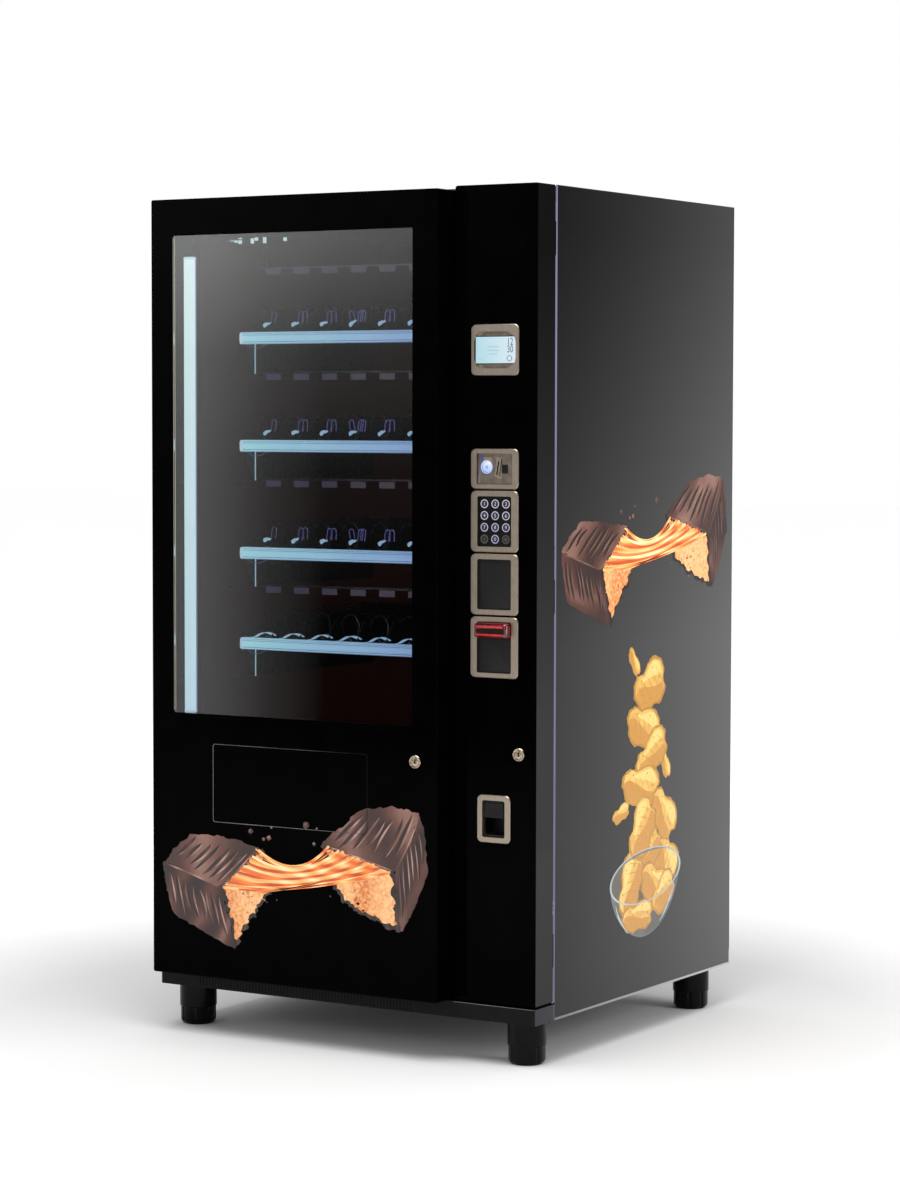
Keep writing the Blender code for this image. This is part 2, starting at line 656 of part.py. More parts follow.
def tray_outline(floor_z):
    """The bent sheet of a tray seen from the front: floor, hanging and upstanding sides, and dividers."""
    left, right, sheet = TRAY_LEFT_X, TRAY_RIGHT_X, TRAY_SHEET
    under, side_top, side_low = floor_z - sheet, floor_z + TRAY_UPSTAND, floor_z - TRAY_HANG
    points = [(left, side_low), (left + sheet, side_low), (left + sheet, under)]
    points += [(right - sheet, under), (right - sheet, side_low), (right, side_low)]
    points += [(right, side_top), (right - sheet, side_top), (right - sheet, floor_z)]
    for divider in range(TRAY_COLUMNS - 1, 0, -1):
        middle = TRAY_LEFT_X + TRAY_SHEET / 2 + COLUMN_PITCH * divider
        top = floor_z + TRAY_DIVIDER_HEIGHT
        points += [(middle + sheet / 2, floor_z), (middle + sheet / 2, top)]
        points += [(middle - sheet / 2, top), (middle - sheet / 2, floor_z)]
    points += [(left + sheet, floor_z), (left + sheet, side_top), (left, side_top)]
    return points


def make_tray(number, rail_top, sheet_finish, rail_finish):
    floor_z = rail_top - TRAY_FLOOR_DROP
    rear_y = TRAY_FRONT_Y + TRAY_DEPTH
    outline = tray_outline(floor_z)
    front = []
    for x, z in outline:
        rake = max(z - floor_z, 0) / TRAY_DIVIDER_HEIGHT * TRAY_DIVIDER_RAKE
        hang = TRAY_HANG_SETBACK if z < floor_z - 2 * TRAY_SHEET else 0
        front.append((x, TRAY_FRONT_Y + rake + hang, z))
    shape = loft([front, [(x, rear_y, z) for x, z in outline]])
    origin = (0, TRAY_FRONT_Y, floor_z)
    tray = piece(f"tray_{number}", shape, sheet_finish, origin)
    motor_low = (TRAY_LEFT_X + TRAY_SHEET / 2, rear_y - TRAY_MOTOR_DEPTH, floor_z - TRAY_SHEET / 2)
    motor_high = (TRAY_RIGHT_X - TRAY_SHEET / 2, rear_y + TRAY_SHEET, floor_z + TRAY_MOTOR_HEIGHT)
    combine(tray, "UNION", block(motor_low, motor_high))
    width = TRAY_RIGHT_X - TRAY_LEFT_X
    back_y = TRAY_FRONT_Y - TOUCH_GAP
    face_y = back_y - RAIL_DEPTH
    middle_x, middle_z = (TRAY_LEFT_X + TRAY_RIGHT_X) / 2, rail_top - RAIL_HEIGHT / 2
    cut = 2 * RAIL_FACE_BEVEL
    face = rounded(width - cut, RAIL_HEIGHT - cut, RAIL_CORNER - RAIL_FACE_BEVEL)
    edge = rounded(width, RAIL_HEIGHT, RAIL_CORNER)
    loops = (
        facing_front(face, face_y, middle_x, middle_z),
        facing_front(edge, face_y + RAIL_FACE_BEVEL, middle_x, middle_z),
        facing_front(edge, back_y, middle_x, middle_z),
    )
    piece(f"price_rail_{number}", loft(loops), rail_finish, (middle_x, back_y, middle_z), tray)
    return tray


def make_spiral(column, floor_z, finish, tray):
    """A coil of wire that starts beside the tray's front and ends on the motor's axis."""
    radius = COLUMN_PITCH / 2 - TRAY_SHEET / 2 - SPIRAL_SIDE_GAP - SPIRAL_WIRE
    x, z = column_x(column), floor_z + SPIRAL_FLOOR_GAP + SPIRAL_WIRE + radius
    front_y = TRAY_FRONT_Y + SPIRAL_FRONT_SETBACK
    motor_y = TRAY_FRONT_Y + TRAY_DEPTH - TRAY_MOTOR_DEPTH - TOUCH_GAP
    coil_end_y = motor_y - SPIRAL_TAIL
    total = SPIRAL_TURNS * SPIRAL_STEPS
    path = []
    for step in range(total + 1):
        turn = SPIRAL_START + 2 * math.pi * step / SPIRAL_STEPS
        y = front_y + (coil_end_y - front_y) * step / total
        path.append(Vector((x + radius * math.cos(turn), y, z + radius * math.sin(turn))))
    coil_end = path[-1]
    inward = Vector((x, coil_end_y, z)) - coil_end
    for way_in, way_back in SPIRAL_TAIL_BEND:
        path.append(coil_end + inward * way_in + Vector((0, SPIRAL_TAIL * way_back, 0)))
    path.append(Vector((x, motor_y, z)))
    shape = swept(path, SPIRAL_WIRE, SPIRAL_SIDES)
    piece(f"spiral_{column + 1}", shape, finish, (x, motor_y, z), tray)


def make_trays(sheet_finish, rail_finish, wire_finish):
    """Four trays. The top one carries its eight spirals as pieces of their own."""
    for index, rail_top in enumerate(rail_tops()):
        tray = make_tray(index + 1, rail_top, sheet_finish, rail_finish)
        if index == 0:
            for column in range(TRAY_COLUMNS):
                make_spiral(column, rail_top - TRAY_FLOOR_DROP, wire_finish, tray)


# Hinges.
def knuckle_heights(low_z, high_z):
    first, last = low_z + KNUCKLE_END, high_z - KNUCKLE_END
    return [first + index * (last - first) / (KNUCKLE_COUNT - 1) for index in range(KNUCKLE_COUNT)]


def make_hinge_rod(name, axis, radius, low_z, high_z, finish):
    """A hinge rod with one bracket to the cabinet above each knuckle of its door."""
    rod = piece(name, upright(radius, low_z, high_z, axis.x, axis.y), finish, (axis.x, axis.y, low_z))
    brackets = []
    for height in knuckle_heights(low_z, high_z):
        low = (axis.x - radius * BRACKET_SHARE, axis.y, height + BRACKET_RISE - BRACKET_HEIGHT / 2)
        top = height + BRACKET_RISE + BRACKET_HEIGHT / 2
        high = (axis.x + radius * BRACKET_SHARE, BODY_FRONT_Y - TOUCH_GAP, top)
        if top < high_z:
            brackets.append(block(low, high))
    combine(rod, "UNION", joined(brackets))


def add_knuckles(door, axis, outer, bore, reach, low_z, high_z):
    """Sleeves round the hinge rod, each joined to the door by a web that reaches into its wall."""
    webs, sleeves, bores = [], [], []
    for height in knuckle_heights(low_z, high_z):
        bottom, top = height - KNUCKLE_HEIGHT / 2, height + KNUCKLE_HEIGHT / 2
        sleeves.append(upright(outer, bottom, top, axis.x, axis.y))
        low = [min(axis.x, reach[0]), min(axis.y, reach[1]), bottom + RUNNING_GAP]
        high = [max(axis.x, reach[0]), max(axis.y, reach[1]), top - RUNNING_GAP]
        for side in (0, 1):
            if abs(reach[side] - axis[side]) < outer:
                low[side] = axis[side] - outer * KNUCKLE_WEB_SHARE
                high[side] = axis[side] + outer * KNUCKLE_WEB_SHARE
        webs.append(block(low, high))
        bores.append(upright(bore, bottom - CUT_PAST, top + CUT_PAST, axis.x, axis.y))
    combine(door, "UNION", joined(webs))
    combine(door, "UNION", joined(sleeves))
    combine(door, "DIFFERENCE", joined(bores))


# Product door.
def door_box(low, high):
    """A door's outer box with a small round on its front edges."""
    width, height = high[0] - low[0], high[2] - low[2]
    x, z = (low[0] + high[0]) / 2, (low[2] + high[2]) / 2
    cut = 2 * DOOR_EDGE_ROUND
    loops = (
        facing_front(rounded(width - cut, height - cut, DOOR_EDGE_ROUND, FEW_STEPS), low[1], x, z),
        facing_front(rounded(width, height, cut, FEW_STEPS), low[1] + DOOR_EDGE_ROUND, x, z),
        facing_front(rounded(width, height, cut, FEW_STEPS), high[1], x, z),
    )
    return loft(loops)


def flap_frame():
    """Middle x, middle z and the y of the pin axis of the delivery flap."""
    x = PRODUCT_LEFT_X + FLAP_LEFT + FLAP_WIDTH / 2
    z = FLAP_TOP_Z - FLAP_HEIGHT / 2
    return x, z, FRONT_Y + FLAP_SETBACK + FLAP_THICKNESS / 2


def make_product_door(finish, hinge):
    low = (PRODUCT_LEFT_X, FRONT_Y, DOOR_LOW_Z)
    high = (PRODUCT_RIGHT_X, DOOR_BACK_Y, PRODUCT_DOOR_TOP_Z)
    door = piece("product_door", door_box(low, high), finish, PRODUCT_AXIS, hinge)
    inner_left, inner_right = PRODUCT_LEFT_X + DOOR_WALL, PRODUCT_RIGHT_X - DOOR_WALL
    back, skin_y = DOOR_BACK_Y + CUT_PAST, FRONT_Y + DOOR_SKIN
    window_room = block(
        (inner_left, skin_y, WINDOW_SILL_Z - WINDOW_CAVITY_MARGIN),
        (inner_right, back, PRODUCT_DOOR_TOP_Z - DOOR_WALL),
    )
    flap_x, flap_z, pin_y = flap_frame()
    half = FLAP_WIDTH / 2 + FLAP_ROOM_MARGIN
    flap_room = block(
        (flap_x - half, skin_y, FLAP_PRODUCT_ROOM_LOW_Z),
        (flap_x + half, back, FLAP_TOP_Z + FLAP_ROOM_MARGIN / 2),
    )
    lower_room = block(
        (inner_left, skin_y, DOOR_LOW_Z + DOOR_WALL),
        (inner_right, back, FLAP_PRODUCT_ROOM_LOW_Z - DOOR_WALL),
    )
    combine(door, "DIFFERENCE", joined([window_room, flap_room, lower_room]))
    window = rounded(WINDOW_RIGHT_X - WINDOW_LEFT_X, WINDOW_TOP_Z - WINDOW_SILL_Z, WINDOW_CORNER)
    window_x, window_z = (WINDOW_LEFT_X + WINDOW_RIGHT_X) / 2, (WINDOW_TOP_Z + WINDOW_SILL_Z) / 2
    opening = rounded(FLAP_WIDTH + 2 * FLAP_GAP, FLAP_HEIGHT + 2 * FLAP_GAP, FLAP_CORNER)
    before, behind = FRONT_Y - CUT_PAST, skin_y + CUT_PAST
    lock_x = PRODUCT_RIGHT_X - PRODUCT_LOCK_RIGHT
    lock_back = FRONT_Y + LOCK_LENGTH + RUNNING_GAP
    holes = [
        loft([facing_front(window, y, window_x, window_z) for y in (before, behind)]),
        loft([facing_front(opening, y, flap_x, flap_z) for y in (before, behind)]),
        pointing_back(LOCK_RADIUS + LOCK_GAP, before, lock_back, lock_x, PRODUCT_LOCK_Z, FINE_ROUND),
    ]
    combine(door, "DIFFERENCE", joined(holes))
    reach = FLAP_WIDTH / 2 + FLAP_PIN_LENGTH + RUNNING_GAP
    socket = circle(FLAP_PIN + ROD_CLEARANCE, BORE_ROUND)
    pin_z = FLAP_TOP_Z - FLAP_THICKNESS / 2
    ends = [facing_side(socket, x, pin_y, pin_z) for x in (flap_x - reach, flap_x + reach)]
    combine(door, "DIFFERENCE", loft(ends))
    add_knuckles(
        door,
        PRODUCT_AXIS,
        PRODUCT_KNUCKLE,
        PRODUCT_ROD + ROD_CLEARANCE,
        (PRODUCT_LEFT_X + DOOR_WALL / 2, PRODUCT_AXIS.y),
        DOOR_LOW_Z,
        PRODUCT_DOOR_TOP_Z,
    )


def make_window_glass(finish, hinge):
    width = WINDOW_RIGHT_X - WINDOW_LEFT_X - 2 * GLASS_GAP
    height = WINDOW_TOP_Z - WINDOW_SILL_Z - 2 * GLASS_GAP
    x, z = (WINDOW_LEFT_X + WINDOW_RIGHT_X) / 2, (WINDOW_TOP_Z + WINDOW_SILL_Z) / 2
    front_y = FRONT_Y + GLASS_SETBACK
    pane = rounded(width, height, WINDOW_CORNER - GLASS_GAP)
    shape = loft([facing_front(pane, front_y, x, z), facing_front(pane, front_y + GLASS, x, z)])
    piece("window_glass", shape, finish, (x, front_y, z), hinge)


def make_door_seal(finish, hinge):
    width = PRODUCT_RIGHT_X - PRODUCT_LEFT_X - 2 * SEAL_INSET
    height = PRODUCT_DOOR_TOP_Z - DOOR_LOW_Z - 2 * SEAL_INSET
    x, z = (PRODUCT_LEFT_X + PRODUCT_RIGHT_X) / 2, (PRODUCT_DOOR_TOP_Z + DOOR_LOW_Z) / 2
    outer = rounded(width, height, SEAL_WIDTH)
    inner = rounded(width - 2 * SEAL_WIDTH, height - 2 * SEAL_WIDTH, SEAL_INNER_CORNER)
    front, back = DOOR_BACK_Y + TOUCH_GAP, BODY_FRONT_Y - TOUCH_GAP
    loops = (
        facing_front(outer, front, x, z),
        facing_front(outer, back, x, z),
        facing_front(inner, back, x, z),
        facing_front(inner, front, x, z),
    )
    piece("door_seal", loft(loops, ring=True), finish, (x, front, z), hinge)


def make_lamp(finish, hinge):
    x = PRODUCT_LEFT_X + LAMP_LEFT + LAMP_WIDTH / 2
    y = FRONT_Y + LAMP_SETBACK + LAMP_DEPTH / 2
    section = rounded(LAMP_WIDTH, LAMP_DEPTH, LAMP_CORNER, LAMP_CORNER_STEPS)
    top_z = WINDOW_TOP_Z - LAMP_TOP_DROP
    shape = loft([lying_flat(section, LAMP_FOOT_Z, x, y), lying_flat(section, top_z, x, y)])
    piece("lamp_bar", shape, finish, (x, y, LAMP_FOOT_Z), hinge)


def make_flap(finish, hinge):
    x, _, pin_y = flap_frame()
    pin_z = FLAP_TOP_Z - FLAP_THICKNESS / 2
    half = FLAP_THICKNESS / 2
    low = FLAP_HEIGHT - half
    section = half_round(half, FLAP_NOSE_STEPS) + [(-half, -low), (half, -low)]
    left, right = x - FLAP_WIDTH / 2, x + FLAP_WIDTH / 2
    plate = loft([facing_side(section, left, pin_y, pin_z), facing_side(section, right, pin_y, pin_z)])
    flap = piece("delivery_flap", plate, finish, (x, pin_y, pin_z), hinge)
    pin = circle(FLAP_PIN, BORE_ROUND)
    left, right = left - FLAP_PIN_LENGTH, right + FLAP_PIN_LENGTH
    combine(flap, "UNION", loft([facing_side(pin, end, pin_y, pin_z) for end in (left, right)]))


def make_lock(name, front_y, x, z, finish, hinge):
    bevelled = circle(LOCK_RADIUS - LOCK_BEVEL, FINE_ROUND)
    full = circle(LOCK_RADIUS, FINE_ROUND)
    face_y = front_y - LOCK_PROUD
    loops = (
        facing_front(bevelled, face_y, x, z),
        facing_front(full, face_y + LOCK_BEVEL, x, z),
        facing_front(full, front_y + LOCK_LENGTH, x, z),
    )
    lock = piece(name, loft(loops), finish, (x, face_y, z), hinge)
    slot = rectangle(*KEY_SLOT)
    ends = (face_y - CUT_PAST, face_y + KEY_SLOT_DEPTH)
    combine(lock, "DIFFERENCE", loft([facing_front(slot, end, x, z) for end in ends]))


# Payment door and what it carries.
def module_stack():
    """Middle heights of the modules and the lock on the payment door, by name."""
    coin_top = CABINET_HEIGHT - COIN_TOP_DROP
    keypad_top = coin_top - COIN_HEIGHT - MODULE_GAP
    blank_top = keypad_top - TALL_MODULE - MODULE_GAP
    note_top = blank_top - TALL_MODULE - MODULE_GAP
    note_low = note_top - TALL_MODULE
    return {
        "display": CABINET_HEIGHT - DISPLAY_DROP - DISPLAY_HEIGHT / 2,
        "coin": coin_top - COIN_HEIGHT / 2,
        "keypad": keypad_top - TALL_MODULE / 2,
        "blank": blank_top - TALL_MODULE / 2,
        "note": note_top - TALL_MODULE / 2,
        "lock": note_low - PAYMENT_LOCK_DROP,
        "return": note_low - RETURN_DROP,
    }


def module_sizes():
    """Bezel width and height of each module, by name."""
    return {
        "display": (BEZEL_WIDTH, DISPLAY_HEIGHT),
        "coin": (BEZEL_WIDTH, COIN_HEIGHT),
        "keypad": (BEZEL_WIDTH, TALL_MODULE),
        "blank": (BEZEL_WIDTH, TALL_MODULE),
        "note": (BEZEL_WIDTH, TALL_MODULE),
        "return": (RETURN_WIDTH, RETURN_HEIGHT),
    }


def make_payment_door(finish, hinge):
    low = (PAYMENT_LEFT_X, PAYMENT_FRONT_Y, DOOR_LOW_Z)
    high = (RIGHT_X, DOOR_BACK_Y, CABINET_HEIGHT)
    door = piece("payment_door", door_box(low, high), finish, PAYMENT_AXIS, hinge)
    hollow_low = (low[0] + PAYMENT_DOOR_WALL, low[1] + PAYMENT_SKIN, low[2] + PAYMENT_DOOR_WALL)
    hollow_high = (high[0] - PAYMENT_DOOR_WALL, high[1] + CUT_PAST, high[2] - PAYMENT_DOOR_WALL)
    combine(door, "DIFFERENCE", block(hollow_low, hollow_high))
    before, behind = PAYMENT_FRONT_Y - CUT_PAST, PAYMENT_FRONT_Y + PAYMENT_SKIN + CUT_PAST
    holes = []
    heights = module_stack()
    for name, (width, height) in module_sizes().items():
        cut = 2 * (MODULE_BODY_INSET - RUNNING_GAP)
        hole = rounded(width - cut, height - cut, RUNNING_GAP + MODULE_BODY_CORNER, FEW_STEPS)
        holes.append(loft([facing_front(hole, y, MODULE_X, heights[name]) for y in (before, behind)]))
    lock_x = RIGHT_X - PAYMENT_LOCK_RIGHT
    holes.append(pointing_back(LOCK_RADIUS + LOCK_GAP, before, behind, lock_x, heights["lock"], FINE_ROUND))
    combine(door, "DIFFERENCE", joined(holes))
    add_knuckles(
        door,
        PAYMENT_AXIS,
        PAYMENT_KNUCKLE,
        PAYMENT_ROD + ROD_CLEARANCE,
        (PAYMENT_AXIS.x, DOOR_BACK_Y - PAYMENT_KNUCKLE),
        DOOR_LOW_Z,
        CABINET_HEIGHT,
    )


def make_module(name, size, opening, opening_corner, z, finish, hinge, cup=None):
    """A bezel that stands proud of the door, with a recess in its face and a body behind the skin."""
    width, height = size
    face_y = PAYMENT_FRONT_Y - BEZEL_PROUD
    back_y = PAYMENT_FRONT_Y - TOUCH_GAP
    inset = 2 * MODULE_BODY_INSET
    edge = 2 * BEZEL_EDGE
    outer = rounded(width, height, BEZEL_CORNER)
    face = rounded(width - edge, height - edge, BEZEL_CORNER - BEZEL_EDGE)
    hole = rounded(*opening, opening_corner)
    body = rounded(width - inset, height - inset, MODULE_BODY_CORNER)
    levels = [(hole, face_y + BEZEL_RECESS), (hole, face_y), (face, face_y), (outer, face_y + BEZEL_EDGE)]
    levels += [(outer, back_y), (body, back_y), (body, PAYMENT_FRONT_Y + MODULE_BODY_DEPTH)]
    if cup:
        floor = rounded(*cup, RETURN_CUP_CORNER)
        levels = [(floor, face_y + RETURN_CUP_DEPTH), (floor, face_y + BEZEL_RECESS)] + levels
    loops = [facing_front(outline, y, MODULE_X, z) for outline, y in levels]
    return piece(name, loft(loops), finish, (MODULE_X, face_y, z), hinge)


def make_display(bezel_finish, screen_finish, hinge):
    z = module_stack()["display"]
    size = module_sizes()["display"]
    make_module("display_module", size, DISPLAY_OPENING, DISPLAY_CORNER, z, bezel_finish, hinge)
    back_y = PAYMENT_FRONT_Y - BEZEL_PROUD + BEZEL_RECESS - TOUCH_GAP
    pane = rounded(*SCREEN_SIZE, SCREEN_CORNER)
    loops = [facing_front(pane, y, MODULE_X, z) for y in (back_y - SCREEN_THICKNESS, back_y)]
    piece("display_screen", loft(loops), screen_finish, (MODULE_X, back_y, z), hinge)


def make_coin_module(bezel_finish, button_finish, hinge):
    z = module_stack()["coin"]
    floor_y = PAYMENT_FRONT_Y - BEZEL_PROUD + BEZEL_RECESS
    sizes = module_sizes()["coin"]
    module = make_module("coin_module", sizes, COIN_OPENING, COIN_OPENING_CORNER, z, bezel_finish, hinge)
    bar_x, bar_z = MODULE_X + COIN_BAR_OFFSET[0], z + COIN_BAR_OFFSET[1]
    bar = turned_by(rounded(*COIN_BAR, COIN_BAR_CORNER), -COIN_BAR_TILT)
    slot = turned_by(rectangle(*COIN_SLOT), -COIN_BAR_TILT)
    bar_ends = (floor_y - COIN_BAR_PROUD, floor_y + OVERLAP)
    combine(module, "UNION", loft([facing_front(bar, y, bar_x, bar_z) for y in bar_ends]))
    button_x, button_z = MODULE_X + BUTTON_OFFSET[0], z + BUTTON_OFFSET[1]
    slot_ends = (floor_y - CUT_PAST, floor_y + COIN_SLOT_DEPTH)
    bore_back = floor_y + BUTTON_LENGTH + BUTTON_TRAVEL_ROOM
    cuts = [
        loft([facing_front(slot, y, bar_x, bar_z) for y in slot_ends]),
        pointing_back(BUTTON_RADIUS + KEY_GAP, floor_y - CUT_PAST, bore_back, button_x, button_z, FINE_ROUND),
    ]
    combine(module, "DIFFERENCE", joined(cuts))
    size = (BUTTON_RADIUS, BUTTON_PROUD, BUTTON_LENGTH)
    make_button("reject_button", size, button_x, button_z, button_finish, hinge)


def make_button(name, size, x, z, finish, hinge):
    """A round button whose face stands proud of the recess it sits in."""
    radius, proud, length = size
    face_y = PAYMENT_FRONT_Y - BEZEL_PROUD + BEZEL_RECESS - proud
    edge = radius * BUTTON_EDGE_SHARE
    loops = (
        facing_front(circle(radius - edge, COARSE_ROUND), face_y, x, z),
        facing_front(circle(radius, COARSE_ROUND), face_y + edge, x, z),
        facing_front(circle(radius, COARSE_ROUND), face_y + length, x, z),
    )
    piece(name, loft(loops), finish, (x, face_y, z), hinge)


def make_keypad(bezel_finish, key_finish, hinge):
    middle_z = module_stack()["keypad"]
    size = module_sizes()["keypad"]
    corner = TALL_OPENING_CORNER
    module = make_module("keypad_module", size, TALL_OPENING, corner, middle_z, bezel_finish, hinge)
    floor_y = PAYMENT_FRONT_Y - BEZEL_PROUD + BEZEL_RECESS
    bore_back = floor_y + KEY_LENGTH + KEY_PROUD
    rows = len(KEY_NAMES) / KEY_COLUMNS
    bores = []
    for index, label in enumerate(KEY_NAMES):
        row, column = divmod(index, KEY_COLUMNS)
        x = MODULE_X + (column - (KEY_COLUMNS - 1) / 2) * KEY_PITCH_X
        z = middle_z + ((rows - 1) / 2 - row) * KEY_PITCH_Z
        bores.append(pointing_back(KEY_RADIUS + KEY_GAP, floor_y - CUT_PAST, bore_back, x, z))
        make_button(f"key_{label}", (KEY_RADIUS, KEY_PROUD, KEY_LENGTH), x, z, key_finish, hinge)
    combine(module, "DIFFERENCE", joined(bores))


def make_blank_module(finish, hinge):
    z = module_stack()["blank"]
    make_module("blank_module", module_sizes()["blank"], TALL_OPENING, TALL_OPENING_CORNER, z, finish, hinge)


def make_note_reader(bezel_finish, snout_finish, hinge):
    z = module_stack()["note"]
    size = module_sizes()["note"]
    make_module("note_module", size, NOTE_OPENING, TALL_OPENING_CORNER, z, bezel_finish, hinge)
    snout_z = z + SNOUT_RISE
    back_y = PAYMENT_FRONT_Y - BEZEL_PROUD + BEZEL_RECESS - TOUCH_GAP
    front_y = PAYMENT_FRONT_Y - SNOUT_PROUD
    wide = rounded(*SNOUT_SIZE, SNOUT_CORNER)
    narrow = rounded(SNOUT_SIZE[0] - 2 * SNOUT_TAPER, SNOUT_SIZE[1] - 2 * SNOUT_TAPER, SNOUT_FRONT_CORNER)
    middle_y = front_y + SNOUT_NOSE
    loops = [facing_front(narrow, front_y, MODULE_X, snout_z)]
    loops += [facing_front(wide, y, MODULE_X, snout_z) for y in (middle_y, back_y)]
    snout = piece("note_snout", loft(loops), snout_finish, (MODULE_X, back_y, snout_z), hinge)
    slot = rectangle(*SNOUT_SLOT)
    ends = (front_y - CUT_PAST, front_y + SNOUT_SLOT_DEPTH)
    combine(snout, "DIFFERENCE", loft([facing_front(slot, y, MODULE_X, snout_z) for y in ends]))


def make_coin_return(bezel_finish, flap_finish, hinge):
    z = module_stack()["return"]
    size = module_sizes()["return"]
    corner = TALL_OPENING_CORNER
    make_module("return_module", size, RETURN_OPENING, corner, z, bezel_finish, hinge, RETURN_CUP)
    half = RETURN_FLAP_THICKNESS / 2
    pin_y = PAYMENT_FRONT_Y - BEZEL_PROUD + RETURN_FLAP_SETBACK
    pin_z = z + RETURN_CUP[1] / 2 - RUNNING_GAP - half
    section = half_round(half, RETURN_NOSE_STEPS)
    section += [(-half, -RETURN_FLAP_HEIGHT), (half, -RETURN_FLAP_HEIGHT)]
    width = RETURN_CUP[0] - 2 * RUNNING_GAP
    ends = (MODULE_X - width / 2, MODULE_X + width / 2)
    loops = [facing_side(section, x, pin_y, pin_z) for x in ends]
    piece("return_flap", loft(loops), flap_finish, (MODULE_X, pin_y, pin_z), hinge)


def make_coin_changer(finish):
    width, depth, height = CHANGER_SIZE
    front_y = BODY_FRONT_Y + CHANGER_SETBACK
    high_z = CABINET_HEIGHT - CHANGER_TOP_DROP
    low = (PAYMENT_ROOM_RIGHT_X - TOUCH_GAP - width, front_y, high_z - height)
    piece("coin_changer", block(low, (low[0] + width, front_y + depth, high_z)), finish)


def main():
    for thing in list(bpy.data.objects):
        bpy.data.objects.remove(thing)

    black_gloss = finish_of("black gloss door")
    grey_paint = finish_of("dark grey powder coat")
    liner = finish_of("dark liner")
    plinth_paint = finish_of("plinth paint")
    foot_plastic = finish_of("black foot plastic")
    zinc = finish_of("zinc plated steel")
    lit_plastic = finish_of("lit rail plastic")
    champagne = finish_of("champagne metal")
    black_plastic = finish_of("black moulded plastic")
    red_plastic = finish_of("red clear plastic")
    nickel = finish_of("nickel")
    glass = finish_of("window glass")
    screen = finish_of("screen")
    rubber = finish_of("seal rubber")

    make_feet(foot_plastic)
    make_plinth(plinth_paint)
    make_cabinet(liner)
    make_side_panels(grey_paint)
    make_rear_cover(grey_paint)
    make_cooling_unit(black_plastic)
    make_delivery_bin(black_plastic)
    make_trays(zinc, lit_plastic, zinc)
    make_coin_changer(black_plastic)
    make_hinge_rod("product_hinge_rod", PRODUCT_AXIS, PRODUCT_ROD, DOOR_LOW_Z, PRODUCT_DOOR_TOP_Z, zinc)
    make_hinge_rod("payment_hinge_rod", PAYMENT_AXIS, PAYMENT_ROD, DOOR_LOW_Z, CABINET_HEIGHT, zinc)

    product_hinge = pivot("product_door_pivot", PRODUCT_AXIS)
    make_product_door(black_gloss, product_hinge)
    make_window_glass(glass, product_hinge)
    make_door_seal(rubber, product_hinge)
    make_lamp(lit_plastic, product_hinge)
    make_flap(black_gloss, product_hinge)
    lock_x = PRODUCT_RIGHT_X - PRODUCT_LOCK_RIGHT
    make_lock("product_door_lock", FRONT_Y, lock_x, PRODUCT_LOCK_Z, nickel, product_hinge)

    payment_hinge = pivot("payment_door_pivot", PAYMENT_AXIS)
    make_payment_door(black_gloss, payment_hinge)
    make_display(champagne, screen, payment_hinge)
    make_coin_module(champagne, lit_plastic, payment_hinge)
    make_keypad(champagne, black_plastic, payment_hinge)
    make_blank_module(champagne, payment_hinge)
    make_note_reader(champagne, red_plastic, payment_hinge)
    make_coin_return(champagne, black_plastic, payment_hinge)
    lock_x = RIGHT_X - PAYMENT_LOCK_RIGHT
    make_lock("payment_door_lock", PAYMENT_FRONT_Y, lock_x, module_stack()["lock"], nickel, payment_hinge)


main()
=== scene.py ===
import math
import random

import bmesh
import bpy
from mathutils import Matrix, Vector


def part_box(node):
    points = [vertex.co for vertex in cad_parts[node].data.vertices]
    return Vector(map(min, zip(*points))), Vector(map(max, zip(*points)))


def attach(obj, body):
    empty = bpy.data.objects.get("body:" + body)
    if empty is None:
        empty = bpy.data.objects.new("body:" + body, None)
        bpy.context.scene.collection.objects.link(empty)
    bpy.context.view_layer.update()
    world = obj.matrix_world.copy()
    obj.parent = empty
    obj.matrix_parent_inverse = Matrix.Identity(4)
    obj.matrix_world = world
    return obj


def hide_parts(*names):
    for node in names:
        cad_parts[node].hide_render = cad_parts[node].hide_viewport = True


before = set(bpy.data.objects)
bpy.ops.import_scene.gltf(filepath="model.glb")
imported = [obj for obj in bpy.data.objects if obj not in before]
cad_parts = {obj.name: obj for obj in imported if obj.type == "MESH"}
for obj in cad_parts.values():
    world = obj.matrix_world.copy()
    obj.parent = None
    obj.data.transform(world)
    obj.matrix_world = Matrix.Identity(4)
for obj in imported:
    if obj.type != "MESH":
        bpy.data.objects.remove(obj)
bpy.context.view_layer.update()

scene = bpy.context.scene
scene.view_settings.view_transform = "Standard"
print("frame loaded")


# Camera: a long lens, a little above the middle of the machine, looking at its right front corner.
camera = {"place": (3.7211, -6.041, 1.3493), "yaw": 31.524, "dip": 3.289, "roll": 0.12, "lens": 94.94}


def setCamera():
    yaw, dip, roll = (math.radians(camera[name]) for name in ("yaw", "dip", "roll"))
    ahead = Vector((-math.sin(yaw) * math.cos(dip), math.cos(yaw) * math.cos(dip), -math.sin(dip)))
    level = Vector((math.cos(yaw), math.sin(yaw), 0))
    over = level.cross(ahead)
    right = level * math.cos(roll) + over * math.sin(roll)
    up = over * math.cos(roll) - level * math.sin(roll)
    data = bpy.data.cameras.new("camera")
    data.lens = camera["lens"]
    data.clip_end = 200
    made = bpy.data.objects.new("camera", data)
    turn = Matrix((right, up, -ahead)).transposed().to_4x4()
    made.matrix_world = Matrix.Translation(camera["place"]) @ turn
    scene.collection.objects.link(made)
    scene.camera = made


setCamera()


